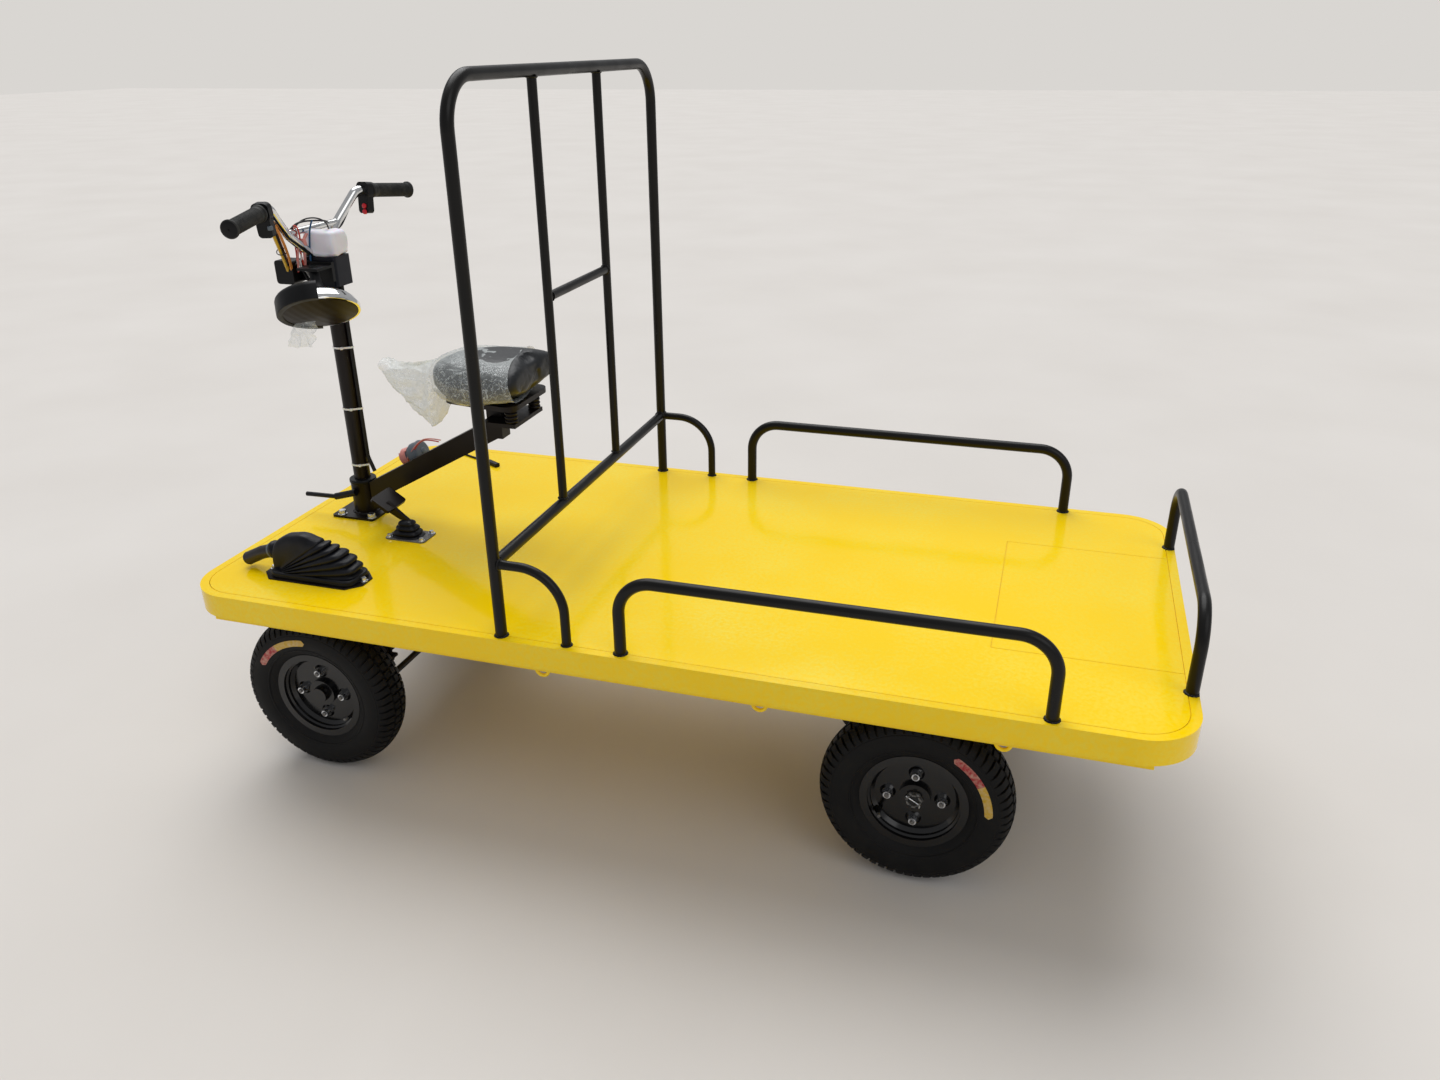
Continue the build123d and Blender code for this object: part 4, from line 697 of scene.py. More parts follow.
def tyre_shape(centre, outward):
    """A tyre with blocks in four rows, the shoulder rows half a pitch from the middle ones."""
    # Share of a pitch where the walls of the cuts stand
    phases = [0.0, 0.04, 0.26, 0.30, 0.50, 0.54, 0.76, 0.80]
    cuts = {"shoulder": (0.02, 0.28), "middle": (0.52, 0.78)}
    half = tyre_rows()
    rows = [(radius, -across, depth, row) for radius, across, depth, row in reversed(half[1:])]
    rows += half
    points = []
    for radius, across, depth, row in rows:
        slant = 0.30 * abs(across) / tread_half
        for pitch in range(tyre_pitches):
            for phase in phases:
                cut = depth if row == "channel" else 0.0
                if row in cuts and cuts[row][0] < phase < cuts[row][1]:
                    cut = depth
                angle = 2 * pi * (pitch + phase + slant) / tyre_pitches
                reach = (radius - cut) * mm
                points.append(centre + Vector((
                    reach * cos(angle), outward * across * mm, reach * sin(angle),
                )))
    columns = tyre_pitches * len(phases)
    return points, grid_faces(len(rows), columns, close_rows=True)


def label_shape(centre, first, last, round_first, round_last):
    """A curved label on a near tyre's side wall, between two angles, with the round ends it is given."""
    wall = sorted((radius, across) for radius, across, depth, row in tyre_rows() if row == "plain")
    # The label's two edges, as radii in millimetres
    inner, outer = 147.0, 164.0
    middle = (inner + outer) / 2
    half = (outer - inner) / 2
    rows, steps = 7, 14
    points = []
    for step in range(steps + 1):
        share = step / steps
        angle = first + (last - first) * share
        along = min(
            share if round_first else 1.0, (1 - share) if round_last else 1.0, 1.0,
        ) * abs(last - first) * middle
        width = half if along >= half else sqrt(max(0.0, half**2 - (half - along) ** 2))
        for row in range(rows):
            radius = middle + width * (2 * row / (rows - 1) - 1)
            across = between(wall, radius)[0]
            reach = radius * mm
            points.append(centre + Vector((
                reach * cos(angle), across * mm + sidewall_lift, reach * sin(angle),
            )))
    return points, grid_faces(steps + 1, rows, close_columns=False)


def wheel_place(centre, outward, reach_mm, angle, across_mm):
    """A point on a wheel: distance from its axis, angle from the front, distance out from its middle."""
    return centre + Vector((
        reach_mm * mm * cos(angle), outward * across_mm * mm, reach_mm * mm * sin(angle),
    ))


def make_tyre(corner, centre, outward, body):
    """The tyre with its blocks, over the plain one."""
    tyre = piece(f"tyre_{corner}_tread", tyre_shape(centre, outward), body, tyre_rubber, 28.0)
    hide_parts(f"tyre_{corner}")


def make_wheel_nuts(corner, centre, outward, body):
    """Zinc wheel nuts over their studs' ends."""
    stud_circle, disc_face, flats, height = 57.5, 13.0, 17.0, 16.4
    shapes = []
    studs = []
    out = Vector((0, outward, 0))
    for turn in range(4):
        angle = pi / 2 * turn
        place = wheel_place(centre, outward, stud_circle, angle, disc_face)
        shapes.append(nut_shape(place, out, flats, height, (cos(angle), 0, sin(angle))))
        studs.append(lathe([
            (5.2, 15.0), (5.2, 17.0), (4.6, 17.4), (5.2, 17.9), (5.2, 19.2), (4.2, 20.2),
        ], place, out, 16))
    piece(f"wheel_nuts_{corner}", joined(shapes), body, zinc)
    piece(f"wheel_studs_{corner}", joined(studs), body, dull_steel)


def make_valve(corner, centre, outward, body):
    """A rubber valve with its cap, through the rim's ledge."""
    reach, angle = (91.0, radians(-33.0)) if corner.startswith("rear") else (96.0, radians(-145.0))
    place = wheel_place(centre, outward, reach - 3, angle, 18.0)
    lean = wheel_place(centre, outward, reach - 9, angle, 48.0) - place
    stem = lathe([(7.0, 0.0), (6.4, 4.0), (4.2, 7.0), (3.8, 20.0)], place, lean, 20)
    cap = lathe([(3.2, 19.0), (4.3, 19.6), (4.3, 28.0), (3.2, 30.0)], place, lean, 14)
    piece(f"valve_{corner}", stem, body, tyre_rubber)
    piece(f"valve_cap_{corner}", cap, body, dull_steel)


def make_castle_nut(corner, centre, outward, body):
    """The rear hub's slotted nut, over the plain one, and its split pin."""
    out = Vector((0, outward, 0))
    hub_face = 24.0
    place = wheel_place(centre, outward, 0, 0, hub_face)
    shapes = [nut_shape(place, out, 33.6, 6.6, (1, 0, 0))]
    tooth_half = (2.2 * mm, 5.0 * mm, 2.6 * mm)
    for turn in range(6):
        angle = pi / 3 * (turn + 0.5)
        tooth = wheel_place(centre, outward, 14.2, angle, hub_face + 8.6)
        shapes.append(rounded_block(tooth, (cos(angle), 0, sin(angle)), out, tooth_half))
    piece(f"castle_nut_{corner}", joined(shapes), body, dull_steel)
    pin = [
        wheel_place(centre, outward, reach, radians(30.0 + side), hub_face + 9.6)
        for reach, side in ((19.5, 0), (14.0, 0), (2.0, 0), (-14.0, 0), (-18.0, 8), (-19.5, 22))
    ]
    strand(f"split_pin_{corner}", pin, 1.5 * mm, body, zinc)


def make_wheels():
    """Tyres, nuts, valves and hub ends on each wheel, and the labels on the two near tyres."""
    for corner in corners:
        low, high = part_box(f"tyre_{corner}")
        centre = (low + high) / 2
        outward = 1 if corner.endswith("left") else -1
        body = f"wheel_{corner}"
        make_tyre(corner, centre, outward, body)
        make_wheel_nuts(corner, centre, outward, body)
        make_valve(corner, centre, outward, body)
        if corner.startswith("rear"):
            make_castle_nut(corner, centre, outward, body)
    # Each label: its corner, and the angles from the front where it starts, changes colour and ends
    labels = [
        ("rear_left", (119.0, 150.0, 179.0)),
        ("front_left", (29.0, 56.0, 90.0)),
    ]
    for corner, turns in labels:
        low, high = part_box(f"tyre_{corner}")
        centre = (low + high) / 2
        first, change, last = (radians(turn) for turn in turns)
        red = label_shape(centre, first, change, True, False)
        yellow = label_shape(centre, change, last, False, True)
        piece(f"label_red_{corner}", red, f"wheel_{corner}", label_red)
        piece(f"label_yellow_{corner}", yellow, f"wheel_{corner}", label_yellow)


make_wheels()


# Saddle and its wrapping


def bake(made):
    """Makes what the modifiers show the piece's own mesh."""
    graph = bpy.context.evaluated_depsgraph_get()
    mesh = bpy.data.meshes.new_from_object(made.evaluated_get(graph))
    made.modifiers.clear()
    made.data = mesh


def saddle_section(share, grow=0.0):
    """The saddle's cross-section at a share of its length from the rear: half width, low and high edge."""
    low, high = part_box("seat_cushion")
    middle = (low.y + high.y) / 2
    half_width = (high.y - low.y) / 2
    height = high.z - low.z
    nose = sqrt(max(0.0, 1 - max(0.0, (share - 0.55) / 0.45) ** 2.8))
    tail = sqrt(max(0.0, 1 - max(0.0, (0.14 - share) / 0.14) ** 2.4))
    width = half_width * (1.0 - 0.24 * share**1.5) * (0.22 + 0.78 * nose) * (0.62 + 0.38 * tail)
    top = high.z - 3 * mm * (1 - share) - height * (0.34 * (1 - nose) + 0.20 * (1 - tail))
    # The underside's height over the frame's cushion, by share of the length
    underside = [(0.0, 30.0), (0.2, 12.0), (0.45, -6.0), (0.6, -10.0), (0.8, -2.0), (1.0, 22.0)]
    bottom = low.z + between(underside, share)[0] * mm
    return middle, width + grow, bottom - grow, top + grow


def saddle_ring(share, steps, grow=0.0):
    """Points round the saddle at a share of its length: flat below, crowned on top."""
    low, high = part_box("seat_cushion")
    middle, width, bottom, top = saddle_section(share, grow)
    x = low.x + (high.x - low.x) * share * nose_reach
    rim = bottom + (top - bottom) * 0.42
    ring = []
    for step in range(steps):
        angle = 2 * pi * step / steps
        side = squarer(cos(angle), 0.66)
        if sin(angle) >= 0:
            height = rim + (top - rim) * abs(sin(angle)) ** 0.78
        else:
            height = rim - (rim - bottom) * abs(sin(angle)) ** 0.45
        pull = 1.0 if sin(angle) >= 0 else 1.0 - 0.10 * abs(sin(angle))
        ring.append(Vector((x, middle + width * side * pull, height)))
    return ring


def make_saddle():
    """A stuffed saddle: its shell, blown up a little by a cloth simulation and smoothed."""
    steps = 40
    shares = [0.02, 0.05, 0.10, 0.16] + [0.16 + 0.74 * i / 14 for i in range(1, 15)] + [0.94, 0.97, 0.985]
    points = []
    for share in shares:
        points.extend(saddle_ring(share, steps, -4 * mm))
    saddle = piece("saddle", capped(points, steps), "chassis", vinyl)
    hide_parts("seat_cushion")
    remesh = saddle.modifiers.new("even_cells", "REMESH")
    remesh.mode = "VOXEL"
    remesh.voxel_size = saddle_voxel
    bake(saddle)
    rest = [vertex.co.copy() for vertex in saddle.data.vertices]
    cloth = saddle.modifiers.new("stuffing", "CLOTH")
    cloth.settings.use_pressure = True
    cloth.settings.uniform_pressure_force = 4.0
    cloth.settings.effector_weights.gravity = 0.0
    cloth.settings.quality = 6
    last_frame = 20
    for step in range(1, last_frame + 1):
        scene.frame_set(step)
    bake(saddle)
    scene.frame_set(1)
    for vertex, start_place in zip(saddle.data.vertices, rest):
        move = vertex.co - start_place
        if move.length > saddle_cap:
            vertex.co = start_place + move.normalized() * saddle_cap
    smooth = saddle.modifiers.new("round", "SUBSURF")
    smooth.levels = 1
    smooth.render_levels = 1
    saddle.data.shade_smooth()


def crease(place, scale, stretch):
    """Sharp folds, 1 on a ridge and below 0 in a hollow, drawn out along the cart."""
    sample = Vector((place.x * scale / stretch, place.y * scale, place.z * scale))
    return 1 - 2.6 * abs(noise.noise(sample))


# Where the film's loose end starts along the cart, in millimetres
loose_start = 662.0


def film_rows(steps):
    """Rings of the film: over the saddle from its slanted rear edge, then out in the loose end."""
    rows = []
    on_saddle = 40
    rear_share, front_share = 0.13, 0.95
    for step in range(on_saddle):
        share = rear_share + (front_share - rear_share) * step / (on_saddle - 1)
        shear = max(0.0, 1 - step / 12)
        flare = 2.0 * mm * max(0.0, 1 - step / 2)
        ring = []
        for point in saddle_ring(share, steps, film_lift + flare):
            moved = point.copy()
            moved.x += shear * (-0.22 * point.y + 0.25 * (point.z - 0.94))
            ring.append((moved, 2.2 * mm))
        rows.append(ring)
    # Sections of the loose end: place along the cart, half width, low and high edge in millimetres
    sections = [
        (loose_start, 78.0, 868.0, 970.0), (672.0, 72.0, 836.0, 963.0), (688.0, 60.0, 806.0, 956.0),
        (706.0, 50.0, 799.0, 951.0), (736.0, 42.0, 820.0, 946.0), (766.0, 36.0, 850.0, 942.0),
        (798.0, 30.0, 886.0, 944.0), (827.0, 25.0, 925.0, 951.0),
    ]
    rings_between = 5
    for before, after in zip(sections, sections[1:]):
        for step in range(rings_between):
            share = step / rings_between
            x, width, low, high = (a + (b - a) * share for a, b in zip(before, after))
            rows.append(loose_ring(x, width, low, high, steps))
    rows.append(loose_ring(*sections[-1], steps))
    return rows


def loose_ring(x, width, low, high, steps):
    """A ring of the film's loose end: wide above and drawn together below."""
    depth = min(8.0, 2.2 + (x - loose_start) * 0.14) * mm
    ring = []
    for step in range(steps):
        angle = 2 * pi * step / steps
        side = squarer(cos(angle), 0.8)
        rise = squarer(sin(angle), 0.8)
        z = (low + high) / 2 + (high - low) / 2 * rise
        drawn = min(1.0, (x - loose_start) / 50.0)
        narrow = 1 - drawn * 0.62 * (1 - (z - low) / (high - low))
        ring.append((Vector((x, width * side * narrow, z)) * mm, depth))
    return ring


def make_film():
    """The clear bag still pulled over the saddle, with its crumpled end loose in front."""
    steps = 120
    points = []
    rows = film_rows(steps)
    for ring in rows:
        middle = sum((point for point, depth in ring), Vector()) / steps
        for point, depth in ring:
            out = point - middle
            out.x = 0.0
            fold = crease(point, 34.0, 3.2) + 0.5 * crease(point, 80.0, 2.2)
            points.append(point + out.normalized() * depth * fold)
    film = piece("saddle_bag", (points, grid_faces(len(rows), steps)), "chassis", bag_film, 70.0)
    film.data.shade_smooth()
    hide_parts("seat_wrap")


def make_seat_springs():
    """Black coil springs under the saddle, over their cores."""
    yoke_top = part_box("seat_arm")[1].z + 10 * mm
    pan_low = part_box("seat_frame")[1].z - 12 * mm
    rings = 4
    height = pan_low - yoke_top
    pitch = height / rings
    shapes = []
    for side in (1, -1):
        place = Vector((seat_spring_x, side * 0.060, yoke_top))
        for turn in range(rings):
            middle = place + Vector((0, 0, (turn + 0.5) * pitch))
            shapes.append(ring_shape(middle, (0, 0, 1), 12 * mm, 4.0 * mm, 40, 12))
        shapes.append(lathe([(12.3, 1.0), (12.3, height / mm - 1.0)], place, (0, 0, 1), 32))
    piece("seat_springs", joined(shapes), "chassis", steel_paint)


make_saddle()
make_film()
make_seat_springs()


# Hand brake boot


def boot_shape(line):
    """A rubber boot of pleats that fan out from a line: the pleats lie low at the rear, and a plain
    hump stands over the lever."""
    # Angle over the deck, reach from the line, half width, and depth of the pleats
    envelope = [
        (0.0, 203.0, 41.0, 0.0), (3.0, 211.0, 42.5, 1.0), (8.0, 212.0, 42.5, 1.0),
        (14.0, 200.0, 41.0, 1.0), (20.0, 184.0, 38.0, 1.0), (26.0, 168.0, 34.0, 1.0),
        (32.0, 155.0, 30.0, 1.0), (35.0, 146.0, 26.5, 0.3), (40.0, 139.0, 25.0, 0.0),
        (51.0, 123.5, 24.0, 0.0), (62.0, 108.0, 24.0, 0.0), (75.0, 90.0, 24.0, 0.0),
        (89.0, 74.0, 24.0, 0.0), (98.0, 58.0, 24.0, 0.0), (108.0, 38.0, 24.0, 0.0),
        (122.0, 24.0, 23.0, 0.0), (145.0, 14.0, 22.0, 0.0), (172.0, 10.0, 21.0, 0.0),
    ]
    # Fine steps over the pleats, then wider ones over the hump
    angles = [0.6 * step for step in range(62)] + [38.0 + 3.35 * step for step in range(41)]
    first_pleat, pleat_pitch = 7.1, 6.03
    columns = 48
    points = []
    for turn in angles:
        reach, half, pleated = between(envelope, turn)
        lobe = abs(cos(pi * (turn - first_pleat) / pleat_pitch)) ** 0.8
        reach -= 11.0 * pleated * (1 - lobe)
        half -= 5.0 * pleated * (1 - lobe)
        # The hump's two faint creases
        reach += 1.2 * (1 - pleated) * sin(radians(turn) * 16.0) * (1 if 40 < turn < 80 else 0)
        for column in range(columns + 1):
            along = pi * column / columns
            side = squarer(cos(along), 0.5)
            out = abs(sin(along)) ** 0.42
            distance = reach * out
            point = line + Vector((
                -distance * cos(radians(turn)), half * side, distance * sin(radians(turn)),
            )) * mm
            sag = noise.noise(point * 38.0) * 1.2 * mm * out
            points.append(point + Vector((0, sag, sag)))
    return points, grid_faces(len(angles), columns + 1, close_columns=False)


def rounded_outline(middle, length, width, corner, inset, z, per_corner=8):
    """Points round a rectangle with round corners, at a height."""
    ring = []
    for number, (sx, sy) in enumerate(((1, 1), (-1, 1), (-1, -1), (1, -1))):
        for step in range(per_corner + 1):
            angle = pi / 2 * (number + step / per_corner)
            ring.append(Vector((
                middle.x + sx * (length / 2 - corner) + (corner - inset) * cos(angle),
                middle.y + sy * (width / 2 - corner) + (corner - inset) * sin(angle),
                z,
            )))
    return ring


def stacked(rings):
    """A closed shape from rings of the same number of points, from the lowest up."""
    return capped([point for ring in rings for point in ring], len(rings[0]))


def pointed_outline(middle, length, width, point, inset, z):
    """Points round a long rectangle with its corners cut to points, at a height."""
    x, y, cut = length / 2 - inset, width / 2 - inset, point - 0.4 * inset
    steps = [
        (x, y - cut), (x - cut, y), (cut - x, y), (-x, y - cut), (-x, cut - y), (cut - x, -y), (x - cut, -y),
        (x, cut - y),
    ]
    return [Vector((middle.x + dx, middle.y + dy, z)) for dx, dy in steps]


def make_hand_brake():
    """Boot, flange, plate, bolts, sleeve and collar of the hand brake."""
    low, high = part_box("hand_brake_boot")
    brake_y = (low.y + high.y) / 2
    line = Vector((column_x - 0.015, brake_y, deck_top + 0.009))
    boot = piece("brake_boot_pleats", boot_shape(line), "chassis", boot_rubber, 50.0)
    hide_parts("hand_brake_boot")
    flange_middle = Vector((column_x - 0.1145, brake_y, 0))
    flange_length, flange_width, flange_corner = 0.226, 0.088, 0.024
    flange = [
        rounded_outline(
            flange_middle, flange_length, flange_width, flange_corner, inset * mm, deck_top + rise * mm,
        )
        for inset, rise in (
            (0.5, 3.0), (0.0, 4.0), (0.0, 8.0), (1.2, 9.0), (1.2, 10.0), (0.3, 11.0), (0.6, 14.5),
            (2.0, 16.4), (5.0, 17.2), (16.0, 17.4),
        )
    ]
    piece("brake_boot_flange", stacked(flange), "chassis", boot_rubber, 40.0)
    plate_middle = Vector((column_x - 0.1105, brake_y, 0))
    plate_length, plate_width, plate_point = 0.265, 0.100, 0.030
    plate = [
        pointed_outline(
            plate_middle, plate_length, plate_width, plate_point, inset * mm, deck_top + rise * mm,
        )
        for inset, rise in ((0.0, 0.1), (0.0, 2.4), (0.7, 3.0))
    ]
    piece("brake_boot_plate", stacked(plate), "chassis", steel_paint, 25.0)
    bolts = [
        bolt_shape(plate_middle + Vector((dx, dy, deck_top + 3 * mm)), (0, 0, 1), 12.0, 7.0, 10.0)
        for dx, dy in ((0.122, 0.0), (-0.122, 0.0))
    ]
    piece("brake_plate_bolts", joined(bolts), "chassis", zinc)
    sleeve_start = Vector((column_x - 0.029, brake_y, deck_top + 0.062))
    sleeve_axis = Vector((0.034, 0, -0.010))
    sleeve = lathe([
        (19.0, 0.0), (20.5, 3.0), (20.8, 24.0), (22.0, 25.5), (22.4, 27.0), (21.6, 29.0), (21.6, 33.0),
        (20.2, 35.4), (16.4, 36.0),
    ], sleeve_start, sleeve_axis, 48)
    collar = lathe([
        (16.2, 35.2), (18.3, 35.6), (18.8, 37.0), (18.8, 41.0), (18.0, 42.4), (16.1, 42.6),
    ], sleeve_start, sleeve_axis, 40)
    piece("brake_boot_sleeve", sleeve, "chassis", boot_rubber, 40.0)
    piece("brake_lever_collar", collar, "chassis", grey_plastic, 40.0)
    tip_axis = Vector((0.043, 0, -0.021))
    tip_place = Vector((column_x + 0.081, brake_y, deck_top + 0.021))
    tip = lathe([
        (15.6, -2.0), (16.3, -1.0), (16.3, 1.0), (15.0, 4.5), (11.5, 7.2), (5.5, 8.8), (0.5, 9.2),
    ], tip_place, tip_axis, 40)
    piece("brake_lever_tip", tip, "chassis", lever_plastic, 50.0)


make_hand_brake()


# Foot brake


def make_pedal_boot():
    """A lumpy pleated boot on its plate, round the foot brake's arm."""
    low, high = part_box("pedal_boot")
    plate_middle = Vector(((low.x + high.x) / 2, (low.y + high.y) / 2, 0))
    middle = plate_middle + Vector((6 * mm, 0, 0))
    rows = 58
    columns = 56
    height = high.z - low.z - 3 * mm
    points = []
    for row in range(rows + 1):
        share = row / rows
        ripple = abs(cos(pi * (share * 3.5 + 0.12))) ** 0.9
        half_long = (42.0 - 25.0 * share - 5.5 * (1 - ripple)) * mm
        half_wide = (31.0 - 17.5 * share - 4.5 * (1 - ripple)) * mm
        closing = max(0.0, (share - 0.93) / 0.07)
        for column in range(columns):
            angle = 2 * pi * column / columns
            point = middle + Vector((
                half_long * squarer(cos(angle), 0.7) * (1 - 0.3 * closing),
                half_wide * squarer(sin(angle), 0.7) * (1 - 0.5 * closing),
                low.z + 3 * mm + height * share,
            ))
            lump = noise.noise(point * 60.0) * 1.6 * mm
            points.append(point + Vector((lump, lump, 0.5 * lump)))
    faces = grid_faces(rows + 1, columns)
    faces.append(tuple(range(rows * columns, (rows + 1) * columns)))
    boot = piece("pedal_boot_pleats", (points, faces), "chassis", boot_rubber, 50.0)
    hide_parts("pedal_boot")
    plate_length, plate_width, plate_corner = 0.112, 0.068, 0.010
    plate = [
        rounded_outline(
            plate_middle, plate_length, plate_width, plate_corner, inset * mm, deck_top + rise * mm,
        )
        for inset, rise in ((0.0, 0.1), (0.0, 2.4), (0.7, 3.0))
    ]
    piece("pedal_plate", stacked(plate), "chassis", dull_steel, 25.0)
    bolts = [
        bolt_shape(plate_middle + Vector((dx, dy, deck_top + 3 * mm)), (0, 0, 1), 10.0, 6.0, 8.5)
        for dx in (0.046, -0.046) for dy in (0.024, -0.024)
    ]
    piece("pedal_plate_bolts", joined(bolts), "chassis", zinc)


make_pedal_boot()


# Handlebar


grip_length = 138.0
grip_past_bar = 4.0


def grip_axis(side):
    """Where a grip starts at the bar's end, and its direction to the middle."""
    bar_end = Vector((column_x - 0.024, side * 0.341, column_top + 0.112))
    bend = Vector((column_x + 0.012, side * 0.166, column_top + 0.130))
    inward = (bend - bar_end).normalized()
    return bar_end - inward * grip_past_bar * mm, inward


def make_grips():
    """Ribbed rubber grips with a flange, and the plug in each end of the bar."""
    profile = [
        (2.8, 1.4), (3.2, 0.3), (18.6, 0.0), (20.2, 0.8), (20.6, 2.4), (20.4, 5.2), (18.6, 6.6), (17.4, 8.0),
    ]
    for rib in range(24):
        at = 9.5 + 4.6 * rib
        profile += [(16.2, at), (16.2, at + 1.2), (17.3, at + 1.9), (17.3, at + 4.0)]
    profile += [
        (17.4, 122.0), (17.6, 128.5), (19.4, 130.0), (19.8, 131.5), (19.8, 136.0), (18.8, 137.8),
        (11.6, grip_length),
    ]
    grips = []
    plugs = []
    for side in (1, -1):
        start_place, inward = grip_axis(side)
        grips.append(lathe(profile, start_place, inward, 40))
        plugs.append(lathe([
            (0.4, 2.0), (2.2, 1.8), (2.9, -0.2), (17.0, -0.6), (18.2, 0.2), (18.2, 1.0),
        ], start_place, inward, 40))
    made = piece("ribbed_grips", joined(grips), "steering", grip_rubber, 45.0)
    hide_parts("grips")
    piece("bar_end_plugs", joined(plugs), "steering", black_plastic, 45.0)


def make_switch_buttons():
    """Two red push buttons on the far switch, and a slide on the near one."""
    start_place, inward = grip_axis(-1)
    face = start_place + inward * (grip_past_bar + grip_length + 19) * mm
    down = Vector((0, 0.1, -1)).normalized()
    reds = []
    for drop in (0.038, 0.052):
        place = face + down * drop - Vector((0.004, 0, 0))
        reds.append(lathe([
            (6.4, -1.0), (6.4, 3.4), (5.8, 4.6), (4.0, 5.2), (0.4, 5.3),
        ], place, inward, 24))
    piece("red_buttons", joined(reds), "steering", red_plastic, 40.0)
    start_place, inward = grip_axis(1)
    face = start_place + inward * (grip_past_bar + grip_length + 9) * mm + down * 0.034
    face -= Vector((0.017, 0, 0))
    slide = rounded_block(face, (0, 1, 0), (0, 0, 1), (6 * mm, 4 * mm, 5 * mm))
    piece("near_switch_slide", slide, "steering", grey_plastic, 40.0)


def make_foam():
    """Packing foam wrapped round the meter on top of the head block."""
    low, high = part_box("meter_box")
    # It takes in the bar's clamp in front of the meter
    middle = (low + high) / 2 + Vector((13 * mm, 0, 3.5 * mm))
    half = (high - low) / 2 + Vector((14 * mm, 0, 2.5 * mm))
    points, faces = rounded_block(
        middle, (1, 0, 0), (0, 0, 1), (half.x + 1 * mm, half.y + 2 * mm, half.z + 1 * mm), 0.34, 44, 72,
    )
    # The sheet's layers step in and out: their pitch and width in millimetres
    layer_pitch, layer_width = 17, 9
    wrapped = []
    for point in points:
        out = (point - middle).normalized()
        layer = 0.9 * mm * (1 if (point.z - low.z) * 1000 % layer_pitch < layer_width else -0.3)
        dent = noise.noise(point * 36.0) * 6.5 * mm + noise.noise(point * 120.0) * 0.9 * mm
        wrapped.append(point + out * (dent + 0.4 * layer))
    foam = piece("meter_foam", (wrapped, faces), "steering", white_foam, 60.0)
    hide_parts("meter_box")


